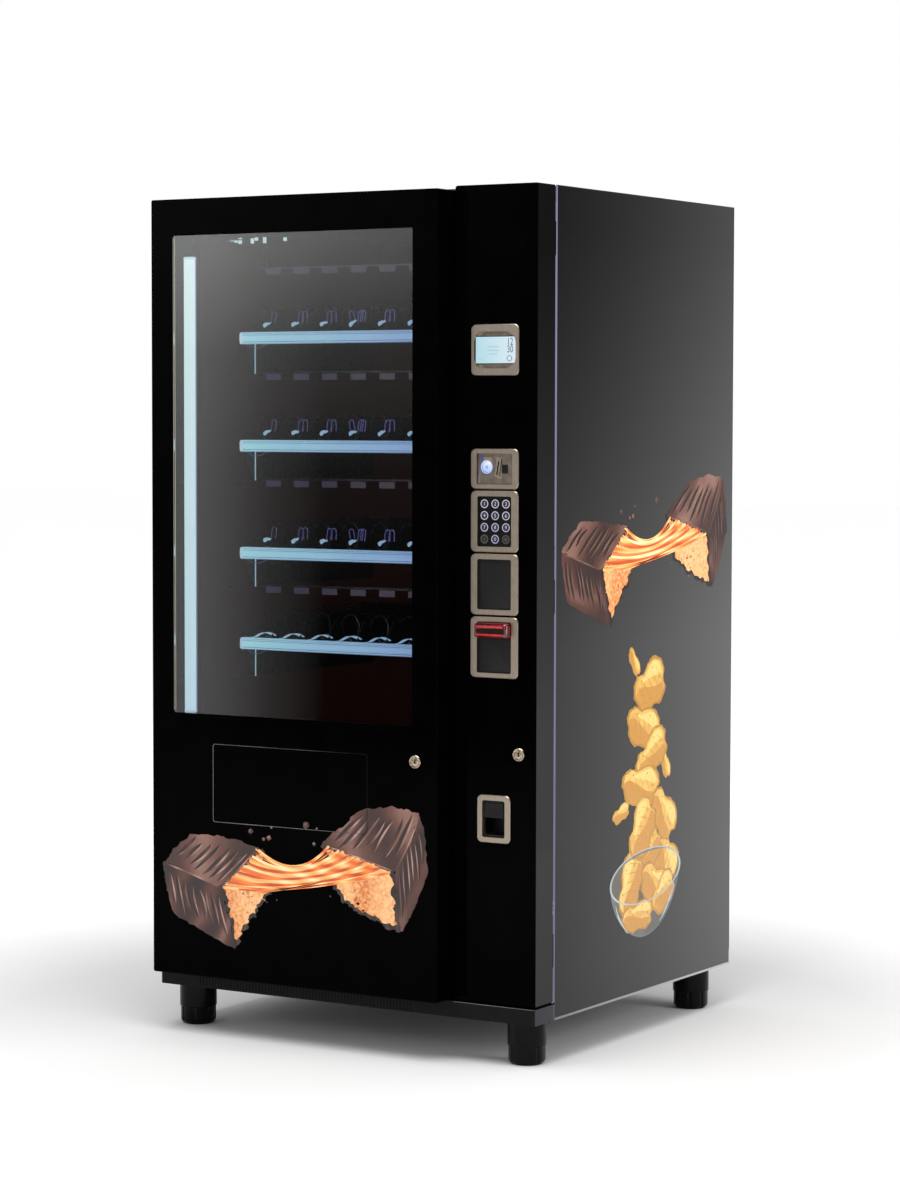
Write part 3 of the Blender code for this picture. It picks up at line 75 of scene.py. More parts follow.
# Materials: sRGB hex in, linear out, and one way to add a node.
def tone(hexCode, alpha=1.0):
    parts = [int(hexCode[i:i + 2], 16) / 255 for i in (1, 3, 5)]
    linear = [c / 12.92 if c <= 0.04045 else ((c + 0.055) / 1.055) ** 2.4 for c in parts]
    return (*linear, alpha)


def add(tree, kind, settings=None, links=None):
    made = tree.nodes.new(kind)
    for name, value in (settings or {}).items():
        if isinstance(name, str) and hasattr(made, name):
            setattr(made, name, value)
        else:
            made.inputs[name].default_value = value
    for name, source in (links or {}).items():
        tree.links.new(source, made.inputs[name])
    return made


def fillRamp(node, stops):
    elements = node.color_ramp.elements
    while len(elements) < len(stops):
        elements.new(0.5)
    for element, (place, colour) in zip(elements, stops):
        element.position = place
        element.color = colour
    return node


def startMaterial(name, colour, roughness, metallic=0.0, **more):
    made = bpy.data.materials.new(name)
    made.use_nodes = True
    tree = made.node_tree
    shader = tree.nodes["Principled BSDF"]
    shader.inputs["Base Color"].default_value = tone(colour)
    shader.inputs["Roughness"].default_value = roughness
    shader.inputs["Metallic"].default_value = metallic
    for socket, value in more.items():
        shader.inputs[socket.replace("_", " ")].default_value = value
    where = tree.nodes.new("ShaderNodeTexCoord").outputs["Object"]
    return made, tree, shader, where


# Two tones of one colour through a soft noise, a roughness that wanders, and a fine bump. Sizes are in
# millimetres.
def grainy(name, data, metallic=0.0, **more):
    made, tree, shader, where = startMaterial(name, data["colour"], data["rough"], metallic, **more)
    wide = add(tree, "ShaderNodeMapping", {"Scale": data.get("stretch", (1, 1, 1))}, {"Vector": where})
    patches = add(tree, "ShaderNodeTexNoise", {"Scale": 1000 / data["patch"], "Detail": 4.0},
                  {"Vector": wide.outputs[0]})
    shades = add(tree, "ShaderNodeValToRGB", {}, {"Fac": patches.outputs["Fac"]})
    fillRamp(shades, [(0.32, tone(data["dark"])), (0.68, tone(data["colour"]))])
    tree.links.new(shades.outputs["Color"], shader.inputs["Base Color"])
    grain = add(tree, "ShaderNodeTexNoise", {"Scale": 1000 / data["grain"], "Detail": 2.0},
                {"Vector": wide.outputs[0]})
    spread = data.get("spread", 0.06)
    gloss = add(tree, "ShaderNodeMapRange", {"To Min": data["rough"] - spread,
                                             "To Max": data["rough"] + spread},
                {"Value": patches.outputs["Fac"]})
    tree.links.new(gloss.outputs["Result"], shader.inputs["Roughness"])
    bump = add(tree, "ShaderNodeBump", {"Strength": data.get("relief", 0.3),
                                        "Distance": data["depth"] / 1000},
               {"Height": grain.outputs["Fac"]})
    tree.links.new(bump.outputs["Normal"], shader.inputs["Normal"])
    return made


# Light that comes from within, for lamps and screens, and glow that is painted light on parts that are no
# lamps: an even colour that runs from one tone to another along an axis, in metres.
def glowing(name, data):
    made, tree, shader, where = startMaterial(name, data["colour"], data["rough"])
    shader.inputs["Base Color"].default_value = tuple(c * 0.06 for c in tone(data["colour"])[:3]) + (1.0,)
    parts = add(tree, "ShaderNodeSeparateXYZ", {}, {"Vector": where})
    low, high = data["run"]
    along = add(tree, "ShaderNodeMapRange", {"From Min": low, "From Max": high},
                {"Value": parts.outputs[data["axis"]]})
    cloud = add(tree, "ShaderNodeTexNoise", {"Scale": 1000 / data["patch"], "Detail": 2.0}, {"Vector": where})
    shift = add(tree, "ShaderNodeMath", {"operation": "MULTIPLY_ADD", 1: data.get("wander", 0.25), 2: -0.12},
                {0: cloud.outputs["Fac"]})
    total = add(tree, "ShaderNodeMath", {"operation": "ADD"},
                {0: along.outputs["Result"], 1: shift.outputs["Value"]})
    shades = add(tree, "ShaderNodeValToRGB", {}, {"Fac": total.outputs["Value"]})
    fillRamp(shades, [(0.0, tone(data["start"])), (1.0, tone(data["end"]))])
    tree.links.new(shades.outputs["Color"], shader.inputs["Emission Color"])
    shader.inputs["Emission Strength"].default_value = data["strength"]
    return made


# baked gloss enamel on steel door skins: deep black, a faint orange peel only seen in the lights
enamelData = {"colour": "#020202", "dark": "#010101", "rough": 0.09, "spread": 0.03, "patch": 60, "grain": 4,
              "depth": 0.004, "relief": 0.12}
doorEnamel = grainy("baked gloss enamel", enamelData, Specular_IOR_Level=0.01)
# powder coat on sheet steel: satin, fine pimpled grain of 1 mm, drawn at 1.4 mm so that it shows
coatData = {"colour": "#1c1c1d", "dark": "#161617", "rough": 0.42, "spread": 0.05, "patch": 90, "grain": 1.4,
            "depth": 0.03, "relief": 0.35}
powderCoat = grainy("satin powder coat", coatData)
# pre-painted liner sheet: brown black and rolled, with long streaks left by the rolls
linerData = {"colour": "#130b0a", "dark": "#050303", "rough": 0.5, "spread": 0.12, "patch": 240, "grain": 3,
             "stretch": (0.4, 0.4, 3.0), "depth": 0.05}
# the liner also glows a faint red brown: painted light in the dark rooms behind the glass
linerSheet = grainy("rolled liner sheet with painted glow", linerData, Emission_Strength=0.35, Specular_IOR_Level=0.04)
linerSheet.node_tree.nodes["Principled BSDF"].inputs["Emission Color"].default_value = tone("#1d0a08")
# textured base paint: charcoal, coarser grain that hides scuffs
baseData = {"colour": "#0f0f10", "dark": "#0a0a0b", "rough": 0.46, "spread": 0.08, "patch": 30, "grain": 1.2,
            "depth": 0.06, "relief": 0.5}
basePaint = grainy("textured base paint", baseData, Specular_IOR_Level=0.1)
# injection moulded ABS: black, close sparked grain, a little shine on the edges
absData = {"colour": "#0d0d0e", "dark": "#070708", "rough": 0.34, "patch": 25, "grain": 0.8,
           "depth": 0.03, "relief": 0.4}
mouldedAbs = grainy("moulded abs", absData)
# polished moulded feet: nearly black with soft flow marks
footData = {"colour": "#040405", "dark": "#020203", "rough": 0.2, "spread": 0.05, "patch": 18, "grain": 2.5,
            "depth": 0.01, "relief": 0.2, "stretch": (1, 1, 0.3)}
mouldedFoot = grainy("polished moulded nylon", footData, Specular_IOR_Level=0.12)
# brushed anodised zinc bezels: warm champagne, fine upright brush marks
bezelData = {"colour": "#a39687", "dark": "#94887b", "rough": 0.34, "spread": 0.05, "patch": 5, "grain": 0.5,
             "stretch": (3, 3, 0.4), "depth": 0.01}
champagneZinc = grainy("brushed champagne zinc", bezelData, 1.0)
# the sunk faces inside the bezels: the same metal, darker and duller
faceData = {"colour": "#7d7268", "dark": "#665c53", "rough": 0.5, "patch": 12, "grain": 0.6,
            "depth": 0.012, "relief": 0.35}
bronzeFace = grainy("bead blasted bronze zinc", faceData, 1.0)
# galvanised sheet: grey spangle about 8 mm across, dull from the zinc's bloom
sheetData = {"colour": "#4a4a52", "dark": "#2c2c32", "rough": 0.42, "spread": 0.12, "patch": 8, "grain": 2,
             "depth": 0.01, "relief": 0.2}
galvanised = grainy("galvanised sheet", sheetData, 1.0)
# drawn spring wire: dark zinc, lengthwise die marks
wireData = {"colour": "#5a5560", "dark": "#33303a", "rough": 0.34, "spread": 0.08, "patch": 9, "grain": 0.8,
            "depth": 0.01}
springWire = grainy("drawn spring wire", wireData, 1.0)
# nickel plated brass: warm shine, turning marks
nickelData = {"colour": "#b7a793", "dark": "#8f816f", "rough": 0.24, "patch": 5, "grain": 0.5,
              "depth": 0.008}
nickelPlate = grainy("nickel plated brass", nickelData, 1.0)
# bright zinc rod: cool and nearly white
rodData = {"colour": "#d9d6e6", "dark": "#b9b4cc", "rough": 0.22, "spread": 0.05, "patch": 12, "grain": 1,
           "depth": 0.006, "relief": 0.2}
brightZinc = grainy("bright zinc", rodData, 1.0)
# extruded seal rubber: soft black with die lines
rubberData = {"colour": "#101011", "dark": "#0a0a0a", "rough": 0.72, "spread": 0.08, "patch": 20, "grain": 1,
              "stretch": (2, 2, 0.3), "depth": 0.04, "relief": 0.4}
sealRubber = grainy("extruded rubber", rubberData)
# matt black film behind clear plastic: the keypad and the plain fillers
filmData = {"colour": "#060607", "dark": "#040404", "rough": 0.4, "spread": 0.05, "patch": 16, "grain": 0.9,
            "depth": 0.015}
blackFilm = grainy("printed black film", filmData, Specular_IOR_Level=0.15)
fillerData = {"colour": "#0e0e0f", "dark": "#0a0a0b", "rough": 0.42, "spread": 0.05, "patch": 16,
              "grain": 0.9,
              "depth": 0.03, "relief": 0.4}
fillerPlastic = grainy("sparked filler plastic", fillerData, Specular_IOR_Level=0.2)
# satin aluminium trim: grey, its sheen catches the edges
trimData = {"colour": "#77777a", "dark": "#4d4d50", "rough": 0.4, "spread": 0.08, "patch": 70, "grain": 1,
            "depth": 0.01, "relief": 0.2}
trimMetal = grainy("satin edge trim", trimData, 0.8)

# lit parts: even light, cooler and bluer away from the lamp. The lamp cover, the lit key legends, the blue
# ring, the screen and the red guide give their own light; the channel, the edge, the flange, the rails, the
# caps, the grooves, the clips and the guides are no lamps, and their glow is painted lamp light and painted
# highlight.
channelPaintedLight = glowing("anodised channel with painted lamp light", {"colour": "#8d86c2", "rough": 0.38, "axis": "Y",
                      "run": (-0.412, -0.350), "start": "#9d98cf", "end": "#3f3a72", "strength": 0.62,
                      "patch": 3,
                      "wander": 0.7})
edgePaintedLight = glowing("sawn edge with painted lamp light", {"colour": "#e4dfcd", "rough": 0.4, "axis": "Z",
                                                 "run": (0.70, 1.75),
                   "start": "#8f877a", "end": "#cfc6b2", "strength": 0.7, "patch": 30, "wander": 0.5})
# the front flange's bright line is a painted highlight
flangePaintedHighlight = glowing("folded flange with painted highlight", {"colour": "#c9c6e0", "rough": 0.3, "axis": "Z",
                                             "run": (0.13, 1.83),
                    "start": "#8a87a6", "end": "#a9a5cc", "strength": 0.55, "patch": 120, "wander": 0.5})
lampGlow = glowing("opal lamp cover", {"colour": "#e8f6f6", "rough": 0.35, "axis": "Z", "run": (0.70, 1.72),
                   "start": "#bfdcec", "end": "#dcf3f4", "strength": 0.9, "patch": 60})
railPaintedLight = glowing("opal rail face with painted lamp light", {"colour": "#a9dbe8", "rough": 0.3, "axis": "X", "run": (-0.40, 0.22),
                   "start": "#a6dcea", "end": "#7b8fd0", "strength": 0.86, "patch": 90})
capPaintedLight = glowing("opal rail cap with painted lamp light", {"colour": "#cfe6f6", "rough": 0.3, "axis": "Z", "run": (0.8, 1.6),
                  "start": "#b9d5f0", "end": "#cfe9f6", "strength": 0.75, "patch": 15})
groovePaintedLight = glowing("groove with painted violet lamp light", {"colour": "#4f4a78", "rough": 0.5, "axis": "X", "run": (-0.40, 0.22),
                     "start": "#6a6aa6", "end": "#2c2a52", "strength": 0.6, "patch": 40})
# the spiral clips, the tray hems, the guides, the rail cables and the roof bolts glow as painted highlights
clipPaintedHighlight = glowing("clip with painted blue highlight", {"colour": "#bfe3ee", "rough": 0.3, "axis": "X", "run": (-0.40, 0.22),
                  "start": "#b5dce8", "end": "#a2c4ee", "strength": 0.62, "patch": 6, "wander": 0.9})
guidePaintedHighlight = glowing("guide with painted violet highlight", {"colour": "#6f68b8", "rough": 0.35, "axis": "X",
                    "run": (-0.40, 0.22), "start": "#3b3557", "end": "#6a66b4", "strength": 0.42, "patch": 30,
                    "wander": 0.9})
ringGlow = glowing("lit key legend", {"colour": "#dcd7f2", "rough": 0.3, "axis": "Z", "run": (1.09, 1.18),
                   "start": "#c9c1e8", "end": "#e6e3fa", "strength": 0.7, "patch": 5})
# the two legends at the bottom corners are not lit; their faint glow, darker to the right, is painted light
unlitLegendPaintedGlow = glowing("unlit key legend with painted glow", {"colour": "#77735f", "rough": 0.4, "axis": "X", "run": (0.35, 0.41),
                  "start": "#6d6a58", "end": "#56534a", "strength": 0.45, "patch": 4})
blueGlow = glowing("blue lit ring", {"colour": "#dfe8ff", "rough": 0.25, "axis": "Z", "run": (1.235, 1.26),
                   "start": "#8fb0ff", "end": "#dfe8ff", "strength": 1.0, "patch": 4})
screenGlow = glowing("lit screen", {"colour": "#dcebf5", "rough": 0.2, "axis": "X", "run": (0.33, 0.43),
                     "start": "#a9d8e2", "end": "#dbe8f2", "strength": 0.9, "patch": 40})
inkGlow = glowing("screen ink", {"colour": "#5f7c98", "rough": 0.3, "axis": "X", "run": (0.33, 0.43),
                  "start": "#8fb4c0", "end": "#2c4664", "strength": 0.8, "patch": 30})
redGlow = glowing("red lit guide", {"colour": "#c00818", "rough": 0.2, "axis": "X", "run": (0.34, 0.42),
                  "start": "#b00012", "end": "#ff3a3c", "strength": 0.8, "patch": 9, "wander": 1.0})


# Shapes are pairs of points and faces; several join into one piece.
def rectangle(width, height):
    a, b = width / 2, height / 2
    return [(a, b), (-a, b), (-a, -b), (a, -b)]


def rounded(width, height, radius, steps=6):
    points = []
    for corner, (sideA, sideB) in enumerate(((1, 1), (-1, 1), (-1, -1), (1, -1))):
        for step in range(steps + 1):
            angle = (corner + step / steps) * math.pi / 2
            points.append((sideA * (width / 2 - radius) + radius * math.cos(angle),
                           sideB * (height / 2 - radius) + radius * math.sin(angle)))
    return points


def oval(width, height, count=32):
    turns = [2 * math.pi * (i + 0.5) / count for i in range(count)]
    return [(width / 2 * math.cos(t), height / 2 * math.sin(t)) for t in turns]


def tilted(outline, angle, a=0.0, b=0.0):
    c, s = math.cos(angle), math.sin(angle)
    return [(a + u * c - v * s, b + u * s + v * c) for u, v in outline]


def front(outline, y, x=0.0, z=0.0):
    return [(x + a, y, z + b) for a, b in outline]


def level(outline, z, x=0.0, y=0.0):
    return [(x + a, y + b, z) for a, b in outline]


def sideways(outline, x, y=0.0, z=0.0):
    return [(x, y + a, z + b) for a, b in outline]


def skin(loops, ring=False, ends=(True, True)):
    count = len(loops[0])
    points = [p for loop in loops for p in loop]
    faces = [] if ring else [tuple(range(count))] * ends[0]
    last = (len(loops) - 1) * count
    if not ring and ends[1]:
        faces.append(tuple(range(last, last + count)))
    rows = len(loops) if ring else len(loops) - 1
    for row in range(rows):
        here, there = row * count, (row + 1) % len(loops) * count
        for i in range(count):
            after = (i + 1) % count
            faces.append((here + i, here + after, there + after, there + i))
    return points, faces


def box(low, high):
    flat = [(low[0], low[1]), (high[0], low[1]), (high[0], high[1]), (low[0], high[1])]
    return skin([[(x, y, low[2]) for x, y in flat], [(x, y, high[2]) for x, y in flat]])


# A plate that faces the front, with its front edges rounded over.
def plate(outlineOf, frontY, backY, x, z, soften=0.0006):
    loops = [front(outlineOf(-2 * soften), frontY, x, z),
             front(outlineOf(-0.6 * soften), frontY + 0.3 * soften, x, z),
             front(outlineOf(0), frontY + soften, x, z), front(outlineOf(0), backY, x, z)]
    return skin(loops)


def wire(path, radius, sides=6):
    loops, across = [], Vector((0.3, 0.2, 1)).normalized()
    path = [Vector(p) for p in path]
    for i, point in enumerate(path):
        ahead = (path[min(i + 1, len(path) - 1)] - path[max(i - 1, 0)]).normalized()
        across = (across - ahead * across.dot(ahead)).normalized()
        other = ahead.cross(across)
        loops.append([tuple(point + across * a + other * b) for a, b in oval(2 * radius, 2 * radius, sides)])
    return skin(loops)


# A turned shape about an axis that runs to the back; the profile is (radius, y).
def turnedBack(profile, x, z, count=40):
    return skin([front(oval(2 * r, 2 * r, count), y, x, z) for r, y in profile])


def joined(shapes):
    points, faces = [], []
    for more, polygons in shapes:
        start = len(points)
        points += more
        faces += [tuple(start + i for i in polygon) for polygon in polygons]
    return points, faces


# One named piece from shapes, each with its own finish; it rides on a body and may stand for CAD nodes.
def addPiece(name, body, parts, sharp=35, stands=()):
    mesh = bpy.data.meshes.new(name)
    points, faces = joined([shape for shape, finish in parts])
    mesh.from_pydata(points, [], faces)
    finishes = list(dict.fromkeys(finish for shape, finish in parts))
    for finish in finishes:
        mesh.materials.append(finish)
    index = [finishes.index(finish) for shape, finish in parts for face in shape[1]]
    mesh.polygons.foreach_set("material_index", index)
    work = bmesh.new()
    work.from_mesh(mesh)
    bmesh.ops.remove_doubles(work, verts=work.verts, dist=1e-6)
    bmesh.ops.recalc_face_normals(work, faces=work.faces)
    work.to_mesh(mesh)
    work.free()
    mesh.shade_smooth()
    mesh.set_sharp_from_angle(angle=math.radians(sharp))
    made = bpy.data.objects.new(name, mesh)
    scene.collection.objects.link(made)
    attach(made, body)
    if stands:
        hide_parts(*stands)
    return made


def paint(nodeNames, finish):
    for name in nodeNames:
        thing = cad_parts[name]
        if not thing.material_slots:
            thing.data.materials.append(finish)
        for slot in thing.material_slots:
            slot.material = finish


# Stage: pale floor, soft studio light; the floor is painted grey near the machine, a painted shade that
# deepens its shadow. The two gradient cards only show in what is glossy.
stageData = {"floorHalf": 40.0, "floor": "#f6f6f6", "sky": 1.12, "mirrorSky": 0.20, "top": 210.0,
             "right": 120.0,
             "front": 40.0}


# A card that only glossy rays meet; strengthOf builds the nodes that give its light.
def glossyCard(name, corners, strengthOf):
    mesh = bpy.data.meshes.new(name)
    mesh.from_pydata(corners, [], [(0, 1, 2, 3)])
    made = bpy.data.materials.new(name)
    made.use_nodes = True
    tree = made.node_tree
    tree.nodes.clear()
    light = add(tree, "ShaderNodeEmission", {}, {"Strength": strengthOf(tree,
                                                                        add(tree, "ShaderNodeTexCoord"))})
    add(tree, "ShaderNodeOutputMaterial", {}, {"Surface": light.outputs[0]})
    mesh.materials.append(made)
    card = bpy.data.objects.new(name, mesh)
    scene.collection.objects.link(card)
    card.visible_camera = False
    card.visible_diffuse = False
    card.visible_shadow = False


# What the right side mirrors: light that grows to the back and falls off upwards.
def rearStrength(tree, where, slopes=(0.0, 0.55, -0.28), base=-1.05, most=1.2):
    dot = add(tree, "ShaderNodeVectorMath", {"operation": "DOT_PRODUCT", 1: slopes},
              {0: where.outputs["Object"]})
    plus = add(tree, "ShaderNodeMath", {"operation": "ADD", 1: base}, {0: dot.outputs["Value"]})
    low = add(tree, "ShaderNodeMath", {"operation": "MAXIMUM", 1: 0.0}, {0: plus.outputs[0]})
    high = add(tree, "ShaderNodeMath", {"operation": "MINIMUM", 1: most}, {0: low.outputs[0]})
    return high.outputs[0]


# What the glass mirrors: a bright patch up and left that dies away, and a narrow band along the left side.
def hazeStrength(tree, where):
    parts = add(tree, "ShaderNodeSeparateXYZ", {}, {"Vector": where.outputs["Object"]})
    across = add(tree, "ShaderNodeMapRange", {"From Min": -4.19, "From Max": -2.37},
                 {"Value": parts.outputs["X"]})
    down = add(tree, "ShaderNodeMapRange", {"From Min": 2.4, "From Max": 0.105},
               {"Value": parts.outputs["Z"]})

    def curve(source, stops):
        made = add(tree, "ShaderNodeValToRGB", {}, {"Fac": source})
        return fillRamp(made, [(place, (level, level, level, 1)) for place, level in stops]).outputs["Color"]

    fall = curve(down.outputs["Result"], [(0, 1), (0.11, 0.90), (0.22, 0.58), (0.34, 0.22), (0.55, 0.05),
                                          (0.78, 0.01), (1, 0)])
    wide = curve(across.outputs["Result"], [(0, 1.9), (0.39, 1.75), (0.80, 1.05), (1, 0.62)])
    band = curve(across.outputs["Result"], [(0, 0.9), (0.12, 0.85), (0.30, 0.25), (0.45, 0)])
    total = add(tree, "ShaderNodeMath", {"operation": "MULTIPLY_ADD"}, {0: fall, 1: wide, 2: band})
    return total.outputs[0]


def areaLight(name, place, target, size, power):
    data = bpy.data.lights.new(name, "AREA")
    data.shape = "RECTANGLE"
    data.size, data.size_y = size
    data.energy = power
    made = bpy.data.objects.new(name, data)
    made.location = place
    made.rotation_euler = (Vector(target) - Vector(place)).to_track_quat("-Z", "Y").to_euler()
    scene.collection.objects.link(made)
    made.visible_camera = False


def makeStage():
    half = stageData["floorHalf"]
    mesh = bpy.data.meshes.new("floor")
    mesh.from_pydata([(-half, -half, 0), (half, -half, 0), (half, half, 0), (-half, half, 0)], [],
                     [(0, 1, 2, 3)])
    floor = bpy.data.objects.new("floor", mesh)
    scene.collection.objects.link(floor)
    paper, tree, shader, where = startMaterial("white studio paper", stageData["floor"], 0.9)
    # grey within 1 m of the machine, white beyond 2.6 m: painted shade round the machine
    reach = add(tree, "ShaderNodeVectorMath", {"operation": "LENGTH"}, {0: where})
    far = add(tree, "ShaderNodeMapRange", {"From Min": 1.0, "From Max": 2.6},
              {"Value": reach.outputs["Value"]})
    shade = add(tree, "ShaderNodeMix", {"data_type": "RGBA", 6: tone("#c0c0c0"), 7: tone(stageData["floor"])},
                {0: far.outputs["Result"]})
    tree.links.new(shade.outputs[2], shader.inputs["Base Color"])
    shader.inputs["Specular IOR Level"].default_value = 0.1
    mesh.materials.append(paper)
    world = bpy.data.worlds.new("studio")
    scene.world = world
    world.use_nodes = True
    tree = world.node_tree
    tree.nodes.clear()
    ray = add(tree, "ShaderNodeLightPath")
    glossy = add(tree, "ShaderNodeMix", {"data_type": "FLOAT", 2: stageData["sky"],
                                         3: stageData["mirrorSky"]},
                 {0: ray.outputs["Is Glossy Ray"]})
    seen = add(tree, "ShaderNodeMix", {"data_type": "FLOAT", 3: 1.0},
               {0: ray.outputs["Is Camera Ray"], 2: glossy.outputs[0]})
    sky = add(tree, "ShaderNodeBackground", {"Color": (1, 1, 1, 1)}, {"Strength": seen.outputs[0]})
    add(tree, "ShaderNodeOutputWorld", {}, {"Surface": sky.outputs[0]})
    areaLight("top light", (0.5, -1.5, 4.6), (0, 0, 0.6), (3.2, 3.2), stageData["top"])
    areaLight("right light", (4.6, 0.4, 1.6), (0.3, 0, 0.9), (1.6, 2.6), stageData["right"])
    areaLight("front light", (0.5, -6.0, 2.6), (0, 0, 1.0), (2.4, 2.4), stageData["front"])
    glossyCard("left card", [(-6.5, -5.5, -0.6), (-2.2, -5.5, -0.6), (-2.2, -5.5, 3.6), (-6.5, -5.5, 3.6)],
               hazeStrength)
    glossyCard("rear card", [(2.1, 1.6, 0.0), (2.1, 5.4, 0.0), (2.1, 5.4, 2.6), (2.1, 1.6, 2.6)],
               rearStrength)


makeStage()
print("stage set")


# A material opened for changes by place: its tree, its shader and the three object coordinates. A name asks
# for a copy.
def opened(made, name=None):
    made = made.copy() if name else made
    made.name = name or made.name
    tree = made.node_tree
    where = add(tree, "ShaderNodeTexCoord")
    parts = add(tree, "ShaderNodeSeparateXYZ", {}, {"Vector": where.outputs["Object"]})
    return made, tree, tree.nodes["Principled BSDF"], parts.outputs


# Mixes the base colour with a socket or a plain colour; what isn't given stays as it was.
def rebase(tree, shader, share, under=None, over=None):
    old = shader.inputs["Base Color"].links[0].from_socket
    mix = add(tree, "ShaderNodeMix", {"data_type": "RGBA"}, {0: share})
    for place, side in ((6, under), (7, over)):
        if isinstance(side, tuple):
            mix.inputs[place].default_value = side
        else:
            tree.links.new(old if side is None else side, mix.inputs[place])
    tree.links.new(mix.outputs[2], shader.inputs["Base Color"])


# A coat with a painted reflection: its colour grows paler downwards and to the back, as a satin sheet does
# beside a bright wall. Levels are display values.
def shadedCoat(base, name, data):
    made, tree, shader, parts = opened(base, name)
    shader.inputs["Specular IOR Level"].default_value = data["shine"]
    height = add(tree, "ShaderNodeMapRange", {"From Min": data["z"][0], "From Max": data["z"][1],
                 "To Min": data["low"], "To Max": data["top"]}, {"Value": parts["Z"]})
    depth = add(tree, "ShaderNodeMapRange", {"From Min": -0.3355, "From Max": 0.479, "To Max": data["back"]},
                {"Value": parts["Y"]})
    both = add(tree, "ShaderNodeMath", {"operation": "ADD"},
               {0: height.outputs["Result"], 1: depth.outputs["Result"]})
    share = add(tree, "ShaderNodeMath", {"operation": "DIVIDE", 1: 255.0}, {0: both.outputs[0]})
    linear = add(tree, "ShaderNodeMath", {"operation": "POWER", 1: 2.2}, {0: share.outputs[0]})
    where = add(tree, "ShaderNodeTexCoord")
    grain = add(tree, "ShaderNodeTexNoise", {"Scale": 240.0, "Detail": 2.0},
                {"Vector": where.outputs["Object"]})
    fleck = add(tree, "ShaderNodeMapRange", {"To Min": data["gain"] * 0.88, "To Max": data["gain"] * 1.12},
                {"Value": grain.outputs["Fac"]})
    level = add(tree, "ShaderNodeMath", {"operation": "MULTIPLY"},
                {0: linear.outputs[0], 1: fleck.outputs["Result"]})
    if "edge" in data:
        beyond = add(tree, "ShaderNodeMath", {"operation": "GREATER_THAN", 1: data["edge"]}, {0: parts["X"]})
        rebase(tree, shader, beyond.outputs[0], over=level.outputs[0])
    else:
        tree.links.new(level.outputs[0], shader.inputs["Base Color"])
    return made


# the right side: powder coat with the light of the room behind painted into its colour; the payment door's
# return is the same paint with the same painted reflection
sideCoat = shadedCoat(powderCoat, "powder coat with painted reflection of a bright wall",
                      {"z": (0.85, 1.75), "low": 65.0, "top": 27.0,
                      "back": 53.0, "gain": 0.42, "shine": 0.08})
returnCoat = shadedCoat(doorEnamel, "gloss enamel with a satin return and painted reflection",
                        {"z": (0.70, 1.70), "low": 62.0, "top": 26.0,
                        "back": 0.0, "gain": 0.60, "shine": 0.01, "edge": 0.4795})


# The cabinet's roof and front flanges wear the outside coat, its rooms keep the liner's painted glow, a faint
# red brown painted light, and the dull of the liner.
outsideData = {"colour": "#18181a", "roofZ": 1.8285, "flangeY": -0.3345, "glow": 0.35, "dull": 0.04,
               "shine": 0.4}


def coatOutside(made, data):
    made, tree, shader, parts = opened(made)
    roof = add(tree, "ShaderNodeMath", {"operation": "GREATER_THAN", 1: data["roofZ"]}, {0: parts["Z"]})
    face = add(tree, "ShaderNodeMath", {"operation": "LESS_THAN", 1: data["flangeY"]}, {0: parts["Y"]})
    outside = add(tree, "ShaderNodeMath", {"operation": "MAXIMUM"}, {0: roof.outputs[0], 1: face.outputs[0]})
    rebase(tree, shader, outside.outputs[0], over=tone(data["colour"]))
    for socket, room, coat in (("Emission Strength", data["glow"], 0.0),
                               ("Specular IOR Level", data["dull"], data["shine"])):
        level = add(tree, "ShaderNodeMapRange", {"To Min": room, "To Max": coat},
                    {"Value": outside.outputs[0]})
        tree.links.new(level.outputs["Result"], shader.inputs[socket])


coatOutside(linerSheet, outsideData)
# CAD solids that keep their shape and take a finish.
for finish, names in ((doorEnamel, "product_door delivery_flap"), (returnCoat, "payment_door"),
                      (linerSheet, "cabinet"),
                      (powderCoat, "side_panel_left side_panel_right rear_cover"), (basePaint, "plinth"),
                      (sealRubber, "door_seal"), (brightZinc, "product_hinge_rod payment_hinge_rod"),
                      (galvanised, "tray_1 tray_2 tray_3 tray_4"),
                      (mouldedAbs, "delivery_bin cooling_unit coin_changer reject_button"),
                      (champagneZinc, "display_module coin_module keypad_module blank_module note_module"),
                      (champagneZinc, "return_module"), (fillerPlastic, "return_flap"),
                      (mouldedFoot, "foot_front_left foot_front_right foot_rear_left foot_rear_right"),
                      (nickelPlate, "product_door_lock payment_door_lock"), (lampGlow, "lamp_bar"),
                      (railPaintedLight, "price_rail_1 price_rail_2 price_rail_3 price_rail_4"),
                      (screenGlow, "display_screen"), (redGlow, "note_snout")):
    paint(names.split(), finish)
paint([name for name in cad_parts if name.startswith("key_")], mouldedAbs)
paint([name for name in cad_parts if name.startswith("spiral_")], springWire)


# Window glass: toughened float glass, faint green edge, clear; wipe marks in its gloss.
def makeGlass():
    made, tree, shader, where = startMaterial("toughened float glass", "#f4f8f7", 0.02,
                                              Transmission_Weight=1.0)
    shader.inputs["IOR"].default_value = 1.5
    wipes = add(tree, "ShaderNodeTexNoise", {"Scale": 4.0, "Detail": 3.0}, {"Vector": where})
    gloss = add(tree, "ShaderNodeMapRange", {"To Min": 0.01, "To Max": 0.05}, {"Value": wipes.outputs["Fac"]})
    tree.links.new(gloss.outputs["Result"], shader.inputs["Roughness"])
    paint(["window_glass"], made)


makeGlass()


payLow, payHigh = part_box("payment_door")
windowLow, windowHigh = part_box("window_glass")
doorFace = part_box("product_door")[0][1]
payFace = payLow[1]


